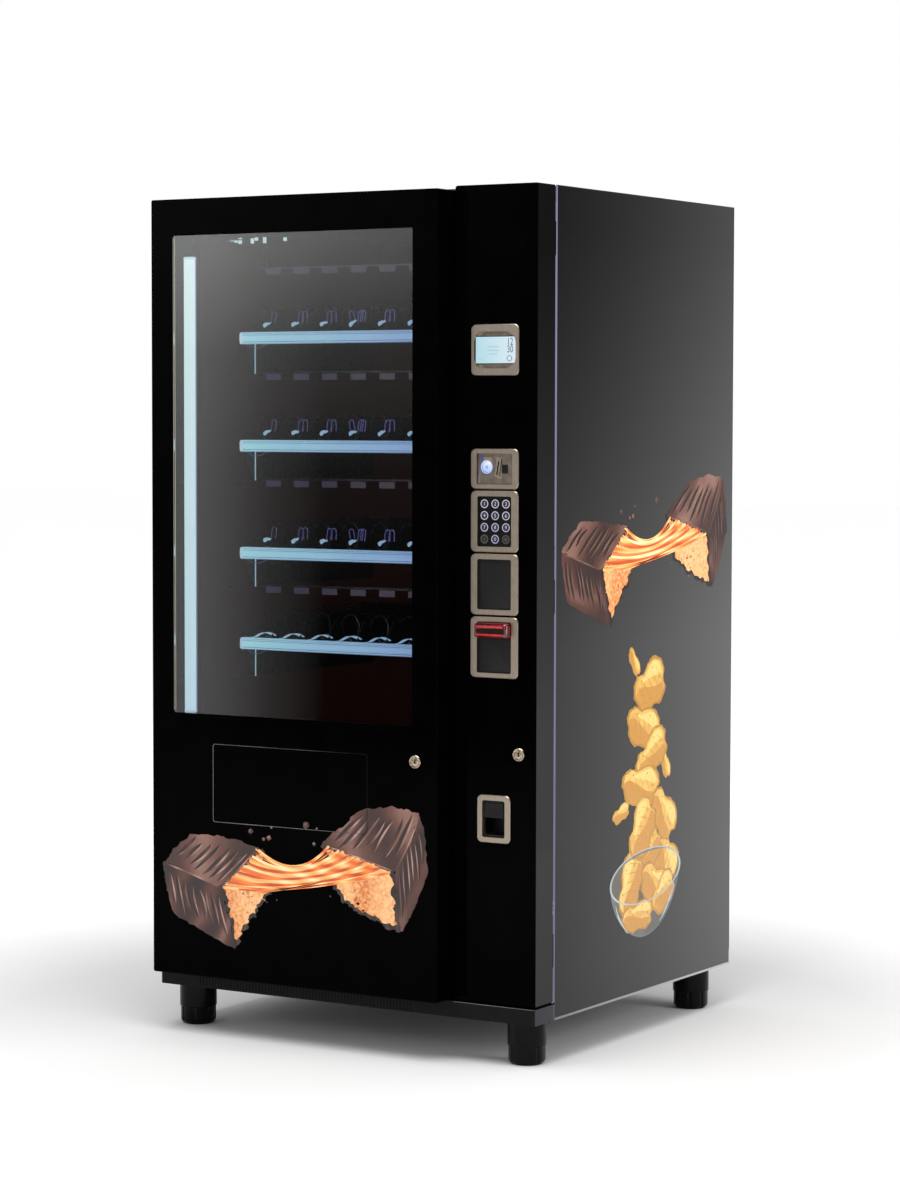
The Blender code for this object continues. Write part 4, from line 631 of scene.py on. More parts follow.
# Printed vinyl: bands of colour that follow a bent wave, as in a painted picture. Band width in millimetres.
def printed(name, data):
    made, tree, shader, where = startMaterial(name, data["stops"][0][1], 0.3)
    turn = add(tree, "ShaderNodeMapping", {"Rotation": data.get("turn", (0, 0, 0))}, {"Vector": where})
    bend = add(tree, "ShaderNodeTexWave", {"Scale": 1000 / data["band"] / 20 * 3.1416,
                                           "Distortion": data["bend"],
               "Detail": 2.0, "Detail Scale": data.get("ripple", 1.2)}, {"Vector": turn.outputs[0]})
    cloud = add(tree, "ShaderNodeTexNoise", {"Scale": 1000 / data["cloud"], "Detail": 4.0}, {"Vector": where})
    blend = add(tree, "ShaderNodeMix", {"data_type": "FLOAT", 0: data.get("share", 0.45)},
                {2: bend.outputs["Fac"], 3: cloud.outputs["Fac"]})
    shades = add(tree, "ShaderNodeValToRGB", {}, {"Fac": blend.outputs[0]})
    fillRamp(shades, [(place, tone(code)) for place, code in data["stops"]])
    tree.links.new(shades.outputs["Color"], shader.inputs["Base Color"])
    fine = add(tree, "ShaderNodeTexNoise", {"Scale": 400.0}, {"Vector": where})
    gloss = add(tree, "ShaderNodeMapRange", {"To Min": 0.25, "To Max": 0.36}, {"Value": fine.outputs["Fac"]})
    tree.links.new(gloss.outputs["Result"], shader.inputs["Roughness"])
    return made


chocTop = printed("print of milk chocolate glaze", {"band": 70, "bend": 5.0, "cloud": 60,
                                                    "turn": (0, 0.5, 0.6),
                  "stops": [(0.2, "#2a120d"), (0.42, "#43241b"), (0.62, "#57352b"), (0.88, "#7f5c50")]})
chocSide = printed("print of ridged chocolate", {"band": 34, "bend": 3.5, "cloud": 90, "turn": (0, -0.4, 0.2),
                   "stops": [(0.2, "#1c0b08"), (0.5, "#351710"), (0.72, "#48261d"), (0.92, "#6b4a40")]})
chocRim = printed("print of broken chocolate edge", {"band": 12, "bend": 6.0, "cloud": 9,
                  "stops": [(0.3, "#100605"), (0.6, "#24100c"), (0.9, "#4d302a")]})
biscuit = printed("print of aerated biscuit", {"band": 60, "bend": 7.0, "cloud": 7, "share": 0.8,
                  "stops": [(0.3, "#b9602c"), (0.42, "#c9824a"), (0.55, "#d59c64"), (0.8, "#e0b582")]})
caramel = printed("print of pulled caramel", {"band": 16, "bend": 1.5, "cloud": 120, "turn": (0, 1.35, 0),
                  "share": 0.3, "stops": [(0.15, "#c9571c"), (0.4, "#dd7f30"), (0.65, "#e69a4e"),
                                          (0.9, "#efb878")]})
crispEdge = printed("print of toasted crisp edge", {"band": 60, "bend": 3.0, "cloud": 30,
                    "stops": [(0.25, "#94691f"), (0.6, "#ad8334"), (0.9, "#bf9a4c")]})
crispFace = printed("print of crisp face", {"band": 40, "bend": 4.0, "cloud": 14, "share": 0.6,
                    "stops": [(0.25, "#b98c3a"), (0.5, "#c9a355"), (0.8, "#d4b66f")]})
crispLight = printed("print of crisp highlight", {"band": 30, "bend": 3.0, "cloud": 12,
                     "stops": [(0.25, "#cfae62"), (0.6, "#dabf7c"), (0.9, "#e3cd92")]})
bowlPrint = printed("print of a glass bowl", {"band": 70, "bend": 4.0, "cloud": 60,
                    "stops": [(0.25, "#3b3c3c"), (0.6, "#4c4a46"), (0.9, "#6a655b")]})
bowlLine = printed("print of a glass rim", {"band": 40, "bend": 2.0, "cloud": 30,
                   "stops": [(0.25, "#8d9698"), (0.6, "#c3cbcd"), (0.9, "#eef2f3")]})


# A hand drawn outline: straight corners cut round twice, then nudged a little.
def wavy(points, amount, seed, rounds=3):
    dice = random.Random(seed)
    for turn in range(rounds):
        cut = []
        for i, (a, b) in enumerate(points):
            c, d = points[(i + 1) % len(points)]
            jog = amount / (turn + 1)
            cut.append((0.75 * a + 0.25 * c + dice.uniform(-jog, jog),
                        0.75 * b + 0.25 * d + dice.uniform(-jog, jog)))
            cut.append((0.25 * a + 0.75 * c + dice.uniform(-jog, jog),
                        0.25 * b + 0.75 * d + dice.uniform(-jog, jog)))
        points = cut
    return points


def makeLamp():
    data = {"below": 0.014, "tooth": 0.0022, "pitch": 0.0043, "cap": 0.006, "clip": 0.012,
            "wall": -0.4399, "clipHeights": (0.76, 1.20, 1.64)}
    low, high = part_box("lamp_bar")
    low = (low[0], low[1], low[2] - data["below"])
    x, y = (low[0] + high[0]) / 2 - 0.0008, (low[1] + high[1]) / 2
    width, depth = high[0] - low[0] - 0.0022, high[1] - low[1] - 0.003
    body = rounded(width, depth, 0.0065, 8)
    cover = skin([level(body, low[2] + data["cap"], x, y - 0.001),
                  level(body, high[2] - data["cap"], x, y - 0.001)])
    teeth, z = [], low[2] + data["cap"] + 0.003
    while z < high[2] - data["cap"] - 0.004:
        teeth.append(box((high[0] - 0.0022, y - 0.004, z), (high[0] - 0.0001, y + 0.001, z + data["tooth"])))
        z += data["pitch"]
    capLine = rounded(width + 0.0012, depth + 0.0015, 0.006, 6)
    caps = []
    for a, b in ((low[2], low[2] + data["cap"]), (high[2] - data["cap"], high[2])):
        caps.append(skin([level(rounded(width - 0.002, depth - 0.002, 0.005, 6), a, x, y),
                          level(capLine, a + 0.001, x, y), level(capLine, b - 0.001, x, y),
                          level(rounded(width - 0.002, depth - 0.002, 0.005, 6), b, x, y)]))
    rail = box((low[0] + 0.002, high[1] - 0.0025, low[2] + 0.001),
               (high[0] - 0.003, high[1], high[2] - 0.001))
    # the lamp's end caps and its channel are no lamps: their glow is painted lamp light
    addPiece("lamp_cover", "product_door",
             [(cover, lampGlow), (joined(teeth), lampGlow), (caps[0], capPaintedLight), (caps[1], capPaintedLight),
              (rail, channelPaintedLight)], stands=["lamp_bar"])
    # clips that hold the lamp to the door wall
    bars = [box((data["wall"], doorFace + 0.062, z), (low[0] + 0.003, doorFace + 0.074, z + data["clip"]))
            for z in data["clipHeights"]]
    addPiece("lamp_clips", "product_door", [(joined(bars), galvanised)])
    # the window's left reveal glows as painted lamp light
    strip = box((windowLow[0] - 0.0005, doorFace + 0.0004, windowLow[2] + 0.004),
                (windowLow[0] - 0.0002, doorFace + 0.0098, windowHigh[2] - 0.004))
    addPiece("window_reveal", "product_door", [(strip, edgePaintedLight)])


makeLamp()
print("lamp made")


# Trays: rails with two fine grooves and round ends whose glow is painted lamp light, wire spirals, and clips
# and guides whose glow is painted highlight.
trayData = {"cap": 0.0085, "wire": 0.0021, "steps": 16, "turns": 8, "loop": 0.0009}


def makeRail(number):
    low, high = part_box(f"price_rail_{number}")
    low = (low[0] + 0.0065, low[1], low[2])
    body = f"tray_{number}"
    height, depth = high[2] - low[2], high[1] - low[1]
    cap = trayData["cap"]
    left, right = low[0] + cap - 0.001, high[0] - cap + 0.001
    f = low[1]
    # section from the top back round the front to the bottom back: y, z
    section = [(high[1], high[2]), (f + 0.0045, high[2]), (f + 0.0022, high[2] - 0.0006),
               (f + 0.0012, high[2] - 0.003),
               (f + 0.0012, high[2] - 0.0060), (f + 0.0004, high[2] - 0.0070), (f + 0.0002, high[2] - 0.0135),
               (f + 0.0006, low[2] + 0.0062), (f + 0.0014, low[2] + 0.0050), (f + 0.0016, low[2] + 0.0022),
               (f + 0.0040, low[2] + 0.0004), (high[1], low[2] + 0.0004)]
    rail = skin([[(x, y, z) for y, z in section] for x in (left, right)])
    lines = []
    for top, size in ((high[2] - 0.0030, 0.0007), (high[2] - 0.0064, 0.0009), (low[2] + 0.0056, 0.0011),
                      (low[2] + 0.0016, 0.0007)):
        lines.append(box((left + 0.001, f + 0.0002, top - size), (right - 0.001, f + 0.0016, top)))
    lip = box((left, f + 0.003, high[2] - 0.0004), (right, f + 0.0036, high[2]))
    caps = []
    for x0, x1 in ((low[0], low[0] + cap), (high[0] - cap, high[0])):
        outer = rounded(depth - 0.0004, height - 0.001, 0.0042, 6)
        inner = rounded(depth - 0.004, height - 0.006, 0.003, 6)
        y, z = (low[1] + high[1]) / 2, (low[2] + high[2]) / 2
        order = [(inner, x0), (outer, x0 + 0.0022), (outer, x1 - 0.0004), (inner, x1)]
        if x0 > 0:
            order = [(inner, x0), (outer, x0 + 0.0004), (outer, x1 - 0.0022), (inner, x1)]
        caps.append(skin([sideways(o, x, y, z) for o, x in order]))
    addPiece(f"rail_{number}", body,
             [(rail, railPaintedLight), (joined(lines), groovePaintedLight), (lip, groovePaintedLight), (caps[0], capPaintedLight),
              (caps[1], capPaintedLight)],
             stands=[f"price_rail_{number}"])
    path = [(low[0] + 0.014, high[1] - 0.004, low[2] + 0.001),
            (low[0] + 0.020, high[1] - 0.003, low[2] - 0.004),
            (low[0] + 0.032, high[1] - 0.001, low[2] - 0.009),
            (low[0] + 0.046, high[1] + 0.003, low[2] - 0.0085),
            (low[0] + 0.058, high[1] + 0.008, low[2] - 0.002),
            (low[0] + 0.064, high[1] + 0.012, low[2] + 0.008)]
    addPiece(f"rail_cable_{number}", body, [(wire(path, trayData["loop"], 6), guidePaintedHighlight)])
    floor = high[2] - 0.012
    hem = box((low[0] - 0.0001, -0.1792, floor - 0.0798), (low[0] + 0.0021, -0.1776, floor - 0.0022))
    addPiece(f"tray_hem_{number}", body, [(hem, clipPaintedHighlight)])


def spiralShape(x, z, frontY, backY):
    low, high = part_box("spiral_1")
    radius = (high[0] - low[0]) / 2 - trayData["wire"]
    steps, turns = trayData["steps"], trayData["turns"]
    endY = backY - 0.020
    path = []
    for step in range(steps * turns + 1):
        turn = math.radians(-45) + 2 * math.pi * step / steps
        y = frontY + (endY - frontY) * step / (steps * turns)
        path.append(Vector((x + radius * math.cos(turn), y, z + radius * math.sin(turn))))
    end, inward = path[-1], Vector((x, endY, z)) - path[-1]
    path += [end + inward * 0.3 + Vector((0, 0.0006, 0)), end + inward * 0.6 + Vector((0, 0.003, 0)),
             end + inward * 0.9 + Vector((0, 0.007, 0)), Vector((x, endY + 0.012, z)), Vector((x, backY, z))]
    return wire(path, trayData["wire"] - 0.0002, 6)


def makeTrays():
    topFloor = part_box("price_rail_1")[1][2] - 0.012
    for number in range(1, 5):
        makeRail(number)
        low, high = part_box(f"price_rail_{number}")
        floor = high[2] - 0.012
        clips, guides, edgesOfColumns = [], [], []
        dice = random.Random(40 + number)
        for column in range(8):
            sLow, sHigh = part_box(f"spiral_{column + 1}")
            x, z = (sLow[0] + sHigh[0]) / 2, (sLow[2] + sHigh[2]) / 2 + floor - topFloor
            shape = spiralShape(x, z, sLow[1] + trayData["wire"], sHigh[1] - 0.0002)
            # a moulded hub where the wire meets the motor
            hub = turnedBack([(0.004, sHigh[1] - 0.016), (0.009, sHigh[1] - 0.013), (0.011, sHigh[1] - 0.003),
                              (0.011, sHigh[1] - 0.0004)], x, z, 16)
            if number == 1:
                addPiece(f"spiral_wire_{column + 1}", f"spiral_{column + 1}",
                         [(shape, springWire), (hub, mouldedAbs)], stands=[f"spiral_{column + 1}"])
            else:
                addPiece(f"spiral_wire_{number}_{column + 1}", f"tray_{number}",
                         [(shape, springWire), (hub, mouldedAbs)])
            tipX, tipZ = x + 0.0285, high[2] + 0.0165
            y = low[1] + 0.020
            if number < 4:
                lean = dice.uniform(-0.25, 0.2)
                outline = [(-0.010, 0.001), (-0.0085, -0.005), (-0.004, -0.0075), (0.000, -0.003),
                           (0.0025, -0.0005),
                           (0.0085, 0.001), (0.0105, 0.0062), (0.004, 0.0048), (-0.001, 0.0052),
                           (-0.006, 0.003)]
                outline = tilted(wavy(outline, 0.0007, number * 10 + column, 2), lean, tipX, tipZ)
                clips.append(skin([[(a, y + 0.3 * (b - tipZ), b) for a, b in outline],
                                   [(a, y + 0.0012 + 0.3 * (b - tipZ), b) for a, b in outline]]))
                spread = ((0.006, 0.12), (0.020, -0.02)) if column % 3 else ((0.010, 0.10),)
                if column == 3:
                    spread = ((-0.006, -0.22), (0.012, 0.14), (0.019, 0.12))
                for dx, tilt in spread:
                    turn = -tilt
                    u = [(-0.0055, 0.0), (-0.0060, 0.012), (-0.0052, 0.0225), (-0.0015, 0.0255),
                         (0.0025, 0.0255),
                         (0.0058, 0.0225), (0.0060, 0.012), (0.0055, 0.0)]
                    path = [(a, y + 0.012, b) for a, b in tilted(u, turn, tipX + dx, tipZ + 0.003)]
                    guides.append(wire(path, 0.0011, 6))
            else:
                # a curled tongue that hooks over the rail
                tongue = []
                for step in range(9):
                    t = step / 8
                    yy = low[1] + 0.034 - 0.036 * t
                    zz = high[2] + 0.0035 + 0.0085 * math.sin(math.pi * min(t * 1.15, 1.0)) - 0.002 * t
                    shift = 0.020 - 0.034 * t
                    half = 0.0065 * (0.55 + 0.45 * math.sin(math.pi * (0.15 + 0.7 * t)))
                    tongue.append([(x + 0.020 + shift - half, yy, zz + 0.0004),
                                   (x + 0.020 + shift - half, yy, zz - 0.0004),
                                   (x + 0.020 + shift + half, yy, zz + 0.0012),
                                   (x + 0.020 + shift + half, yy, zz + 0.0020)])
                clips.append(skin(tongue))
            if column:
                dx = x - (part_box("spiral_2")[0][0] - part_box("spiral_1")[0][0]) / 2
                edgesOfColumns.append(wire([(dx, low[1] + 0.0145, floor + 0.001),
                                            (dx, low[1] + 0.0545, floor + 0.0545)],
                                           0.0007, 5))
        addPiece(f"spiral_clips_{number}", f"tray_{number}", [(joined(clips), clipPaintedHighlight)],
                 sharp=25)
        if guides:
            addPiece(f"spiral_guides_{number}", f"tray_{number}",
                     [(joined(guides), guidePaintedHighlight)])
        addPiece(f"divider_edges_{number}", f"tray_{number}",
                 [(joined(edgesOfColumns), channelPaintedSpill)])
        if number < 4:
            bar = [box((low[0] + 0.0025, -0.152, floor - 0.0785),
                       (high[0] - 0.0025, -0.1505, floor - 0.0745))]
            tags = []
            for column in range(8):
                sLow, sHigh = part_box(f"spiral_{column + 1}")
                x = (sLow[0] + sHigh[0]) / 2
                tags.append(box((x - 0.020, -0.1535, floor - 0.094), (x + 0.020, -0.1520, floor - 0.080)))
            addPiece(f"under_tags_{number}", f"tray_{number}",
                     [(joined(bar), galvanised), (joined(tags), tagPaintedSpill)])


# faint parts that only just show in the lamp's spill; their dim glow is painted light
channelPaintedSpill = glowing("divider edge with painted spill light", {"colour": "#4a4350", "rough": 0.4, "axis": "X",
                     "run": (-0.40, 0.22), "start": "#4a4550", "end": "#5a3f3a", "strength": 0.30,
                     "patch": 40})
tagPaintedSpill = glowing("tag with painted spill light", {"colour": "#5b5675", "rough": 0.4, "axis": "X", "run": (-0.40, 0.22),
                 "start": "#4a4c74", "end": "#5d4a58", "strength": 0.35, "patch": 50, "wander": 0.8})
makeTrays()
print("trays made")


# Flap: a thin satin trim around its opening.
def makeFlapTrim():
    data = {"wide": 0.0016, "proud": 0.0006}
    low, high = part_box("delivery_flap")
    x, z = (low[0] + high[0]) / 2, (low[2] + high[2]) / 2
    width, height = high[0] - low[0] - 0.020 + 0.0034, high[2] - low[2] + 0.0034
    loops = []
    for grow, y in ((0, doorFace), (0, doorFace - data["proud"] * 0.6), (0.0004, doorFace - data["proud"]),
                    (2 * data["wide"] - 0.0006, doorFace - data["proud"]), (2 * data["wide"], doorFace)):
        loops.append(front(rounded(width + grow, height + grow, 0.0045 + grow / 2), y, x, z))
    addPiece("flap_trim", "product_door", [(skin(loops, ends=(False, False)), fadingTrim())])


# The trim has a painted highlight: its colour is bright on the left and along the bottom and sinks into a
# painted shade of near black to the right.
def fadingTrim():
    made, tree, shader, parts = opened(trimMetal, "satin trim with painted highlight and shade")
    across = add(tree, "ShaderNodeMapRange", {"From Min": -0.29, "From Max": 0.06, "To Min": 1.0,
                                              "To Max": 0.0},
                 {"Value": parts["X"]})
    low = add(tree, "ShaderNodeMath", {"operation": "LESS_THAN", 1: 0.480}, {0: parts["Z"]})
    more = add(tree, "ShaderNodeMath", {"operation": "MULTIPLY_ADD", 1: 0.5},
               {0: low.outputs[0], 2: across.outputs["Result"]})
    inside = add(tree, "ShaderNodeMath", {"operation": "LESS_THAN", 1: 0.0905}, {0: parts["X"]})
    share = add(tree, "ShaderNodeMath", {"operation": "MULTIPLY", "use_clamp": True},
                {0: more.outputs[0], 1: inside.outputs[0]})
    rebase(tree, shader, share.outputs[0], under=tone("#030303"))
    return made


makeFlapTrim()


# Locks: a turned collar on the door and a plug that turns, with a key slot.
def makeLock(name, node, body, face):
    low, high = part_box(node)
    x, z = (low[0] + high[0]) / 2, (low[2] + high[2]) / 2
    f = low[1]
    r = (high[0] - low[0]) / 2
    collar = turnedBack([(r * 0.70, f + 0.0016), (r * 0.72, f + 0.0004), (r * 0.78, f),
                         (r * 0.92, f + 0.0002),
                         (r * 0.99, f + 0.0012), (r, f + 0.0026), (r, face + 0.0060)], x, z, 48)
    plug = turnedBack([(r * 0.28, f + 0.0018), (r * 0.30, f + 0.0009), (r * 0.60, f + 0.0008),
                       (r * 0.66, f + 0.0013),
                       (r * 0.67, f + 0.0040)], x, z, 40)
    # the key slot and the four dimples are black film: painted shade in the holes
    slot = box((x - 0.0011, f + 0.0006, z - 0.0046), (x + 0.0011, f + 0.0012, z + 0.0046))
    dimples = [turnedBack([(0.0006, f + 0.0005), (0.0008, f + 0.0010)], x + 0.0062 * math.cos(t),
                          z + 0.0062 * math.sin(t), 10)
               for t in (0.6, 2.5, 3.7, 5.5)]
    shaft = turnedBack([(r * 0.6, face + 0.006), (r * 0.6, high[1])], x, z, 24)
    addPiece(name, body, [(collar, nickelPlate), (plug, nickelPlate), (slot, blackFilm),
                                         (joined(dimples), blackFilm), (shaft, nickelPlate)], stands=[node])


makeLock("product_lock_barrel", "product_door_lock", "product_lock", doorFace)
makeLock("payment_lock_barrel", "payment_door_lock", "payment_lock", payFace)


# Payment modules: the faces sunk inside the bezels.
def recessOf(node):
    low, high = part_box(node)
    return (low[0] + high[0]) / 2, (low[2] + high[2]) / 2, low[1] + 0.006


def panelInside(name, node, width, height):
    data = {"corner": 0.0035, "least": 0.0004, "thick": 0.0005, "sunk": 0.0001, "soft": 0.0003}
    x, z, floor = recessOf(node)
    shape = plate(lambda grow: rounded(width + grow, height + grow,
                                       max(data["corner"] + grow / 2, data["least"])),
                  floor - data["thick"], floor - data["sunk"], x, z, data["soft"])
    addPiece(name, "payment_door", [(shape, fillerPlastic)])


# a digit as a flat shape that faces the front
def digitShape(text, size, x, y, z, wide=1.0):
    curve = bpy.data.curves.new("digit", "FONT")
    curve.body = text
    curve.size = size
    curve.align_x = "CENTER"
    curve.align_y = "CENTER"
    curve.resolution_u = 3
    curve.extrude = 0.0001
    thing = bpy.data.objects.new("digit", curve)
    scene.collection.objects.link(thing)
    bpy.context.view_layer.update()
    mesh = bpy.data.meshes.new_from_object(thing)
    points = [(x + v.co.x * wide, y - v.co.z, z + v.co.y) for v in mesh.vertices]
    faces = [tuple(p.vertices) for p in mesh.polygons]
    bpy.data.objects.remove(thing)
    bpy.data.meshes.remove(mesh)
    bpy.data.curves.remove(curve)
    return points, faces


def ringShape(outer, inner, y, x, z, count=28, depth=0.0003):
    loops = [front(oval(2 * r, 2 * r, count), yy, x, z)
             for r, yy in ((outer, y), (inner, y), (inner, y + depth), (outer, y + depth))]
    return skin(loops, ring=True)


def makeDisplay():
    x, z, floor = recessOf("display_module")
    # a darker sunk oval, cut off by the opening, and a lit screen across it
    ovalLine = [(max(min(a, 0.0496), -0.0496), max(min(b, 0.0376), -0.0376)) for a,
                b in oval(0.112, 0.084, 64)]
    sunk = skin([front(ovalLine, floor - 0.0006, x, z), front(ovalLine, floor - 0.0001, x, z)])
    shade = skin([front([(a * 0.93, b * 0.93) for a, b in ovalLine], floor - 0.0008, x, z),
                  front([(a * 0.96, b * 0.96) for a, b in ovalLine], floor - 0.0006, x, z)])
    frameLine = rectangle(0.0985, 0.0575)
    surround = skin([front(frameLine, floor - 0.0014, x, z), front(frameLine, floor - 0.0007, x, z)])
    addPiece("display_face", "payment_door",
             [(sunk, bronzeFace), (shade, bronzeFace), (surround, blackFilm)])
    y = floor - 0.0018
    screen = skin([front(rounded(0.0955, 0.0545, 0.0015), y, x, z),
                   front(rounded(0.0955, 0.0545, 0.0015), y + 0.0005, x, z)])
    marks = [digitShape("12", 0.021, x + 0.0345, y - 0.0002, z + 0.0165, 0.72),
             digitShape("30", 0.021, x + 0.0345, y - 0.0002, z + 0.0010, 0.72),
             ringShape(0.0062, 0.0050, y - 0.0003, x + 0.0330, z - 0.0175, 20)]
    faint = []
    for row, (start, length) in enumerate(((-0.020, 0.026), (-0.020, 0.028), (-0.016, 0.020))):
        faint.append(box((x + start, y - 0.0002, z + 0.006 - row * 0.0075),
                         (x + start + length, y, z + 0.0076 - row * 0.0075)))
    faint.append(box((x - 0.041, y - 0.0002, z - 0.0195), (x - 0.032, y, z - 0.0180)))
    addPiece("display_picture", "payment_door",
             [(screen, screenGlow), (joined(marks), inkGlow), (joined(faint), faintInk)],
             stands=["display_screen"])


faintInk = glowing("faint screen ink", {"colour": "#a9c4cc", "rough": 0.3, "axis": "X", "run": (0.33, 0.43),
                   "start": "#a5ccd2", "end": "#a0bccb", "strength": 0.85, "patch": 12})
makeDisplay()


def makeCoinFace():
    x, z, floor = recessOf("coin_module")
    bx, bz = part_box("reject_button")[0][0] + 0.0105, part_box("reject_button")[0][2] + 0.0105
    # four strips round the slot bar and the button, so that nothing covers them
    plates = [box((x - 0.0424, floor - 0.0004, z - 0.0320), (x + 0.0424, floor - 0.0001, z - 0.0200)),
              box((x - 0.0424, floor - 0.0004, z + 0.0240), (x + 0.0424, floor - 0.0001, z + 0.0320)),
              box((x - 0.0424, floor - 0.0004, z - 0.0200), (x - 0.0340, floor - 0.0001, z + 0.0240)),
              box((x + 0.0145, floor - 0.0004, z - 0.0200), (x + 0.0424, floor - 0.0001, z + 0.0240)),
              box((x - 0.0340, floor - 0.0004, z - 0.0200), (x + 0.0030, floor - 0.0001, z - 0.0075)),
              box((x - 0.0095, floor - 0.0004, z - 0.0075), (x + 0.0000, floor - 0.0001, z + 0.0240))]
    window = box((x + 0.0154, floor - 0.0012, z - 0.0088), (x + 0.0291, floor - 0.0004, z + 0.0092))
    cells = []
    for row in range(5):
        for column in range(3):
            a, b = x + 0.0164 + column * 0.0042, z - 0.0080 + row * 0.0034
            cells.append(box((a, floor - 0.0015, b), (a + 0.0034, floor - 0.0012, b + 0.0027)))
    addPiece("coin_face", "payment_door",
             [(joined(plates), bronzeFace), (window, blackFilm), (joined(cells), fillerPlastic)])
    wedge = skin([front([(0.004, 0.030), (-0.004, 0.030), (-0.010, -0.030), (-0.006, -0.030)], y, x - 0.0325,
                        z)
                  for y in (floor - 0.0010, floor - 0.0005)])
    addPiece("coin_chute_window", "payment_door", [(wedge, chutePaintedLight)])
    halo = ringShape(0.0138, 0.0114, floor - 0.0012, bx, bz, 36)
    addPiece("reject_halo", "payment_door", [(halo, blueGlow)])
    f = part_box("reject_button")[0][1]
    face = turnedBack([(0.0040, f + 0.0004), (0.0090, f + 0.0001), (0.0104, f + 0.0012),
                       (0.0104, f + 0.009)], bx, bz, 36)
    mark = ringShape(0.0034, 0.0018, f - 0.0001, bx, bz, 20)
    addPiece("reject_cap", "reject_button", [(face, blueGlow), (mark, inkGlow)],
             stands=["reject_button"])


# the chute window is no lamp: its glow, tan below and blue above, is painted light
chutePaintedLight = glowing("chute window with painted light", {"colour": "#5a5570", "rough": 0.15, "axis": "Z",
                                           "run": (1.21, 1.27),
                    "start": "#b9a58f", "end": "#5c74a8", "strength": 0.45, "patch": 12})
makeCoinFace()


def plateWithHoles(width, height, holes, radius, y0, y1, x, z):
    work = bmesh.new()
    mesh = bpy.data.meshes.new("plate")
    base = skin([front(rounded(width, height, 0.003), y, x, z) for y in (y0, y1)])
    mesh.from_pydata(base[0], [], base[1])
    plateThing = bpy.data.objects.new("plate", mesh)
    cutMesh = bpy.data.meshes.new("cut")
    cuts = joined([turnedBack([(radius, y0 - 0.002), (radius, y1 + 0.002)], a, b, 28) for a, b in holes])
    cutMesh.from_pydata(cuts[0], [], cuts[1])
    for m in (mesh, cutMesh):
        work.clear()
        work.from_mesh(m)
        bmesh.ops.recalc_face_normals(work, faces=work.faces)
        work.to_mesh(m)
    work.free()
    cutThing = bpy.data.objects.new("cut", cutMesh)
    for thing in (plateThing, cutThing):
        scene.collection.objects.link(thing)
    tool = plateThing.modifiers.new("holes", "BOOLEAN")
    tool.operation = "DIFFERENCE"
    tool.solver = "EXACT"
    tool.object = cutThing
    result = bpy.data.meshes.new_from_object(plateThing.evaluated_get(bpy.context.evaluated_depsgraph_get()))
    shape = [tuple(v.co) for v in result.vertices], [tuple(p.vertices) for p in result.polygons]
    for thing in (plateThing, cutThing):
        bpy.data.objects.remove(thing)
    return shape


def makeKeypad():
    x, z, floor = recessOf("keypad_module")
    labels = [str(n) for n in range(1, 10)] + ["info", "0", "enter"]
    spots = []
    for label in labels:
        low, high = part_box(f"key_{label}")
        spots.append(((low[0] + high[0]) / 2, (low[2] + high[2]) / 2))
    panel = plateWithHoles(0.0806, 0.1039, spots, 0.0104, floor - 0.0006, floor - 0.0001, x, z)
    addPiece("keypad_face", "payment_door", [(panel, blackFilm)])
    for label, (a, b) in zip(labels, spots):
        node = f"key_{label}"
        low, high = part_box(node)
        f = low[1]
        r = (high[0] - low[0]) / 2
        cap = turnedBack([(r * 0.5, f + 0.0003), (r * 0.86, f), (r * 0.97, f + 0.0004), (r, f + 0.0012),
                          (r, high[1])], a, b, 32)
        legend = ringGlow
        if label.isdigit():
            mark = digitShape(label, 0.0108, a, f - 0.0001, b - 0.0003)
        elif label == "info":
            legend = unlitLegendPaintedGlow
            mark = joined([box((a - 0.0007, f - 0.0002, b - 0.0035), (a + 0.0007, f + 0.0001, b + 0.0010)),
                           box((a - 0.0007, f - 0.0002, b + 0.0019), (a + 0.0007, f + 0.0001, b + 0.0033))])
        else:
            legend = unlitLegendPaintedGlow
            basket = [(-0.0034, 0.0012), (-0.0022, -0.0030), (0.0022, -0.0030), (0.0034, 0.0012)]
            mark = joined([skin([front(basket, y, a, b) for y in (f - 0.0002, f + 0.0001)]),
                           box((a - 0.0042, f - 0.0002, b + 0.0018), (a + 0.0042, f + 0.0001, b + 0.0027))])
        ring = ringShape(r * 0.93, r * 0.76, f - 0.0002, a, b, 32)
        addPiece(f"{node}_cap", node, [(cap, mouldedAbs), (ring, legend), (mark, legend)],
                 stands=[node])


makeKeypad()

panelInside("blank_face", "blank_module", 0.0808, 0.1041)
panelInside("note_face", "note_module", 0.0818, 0.1063)


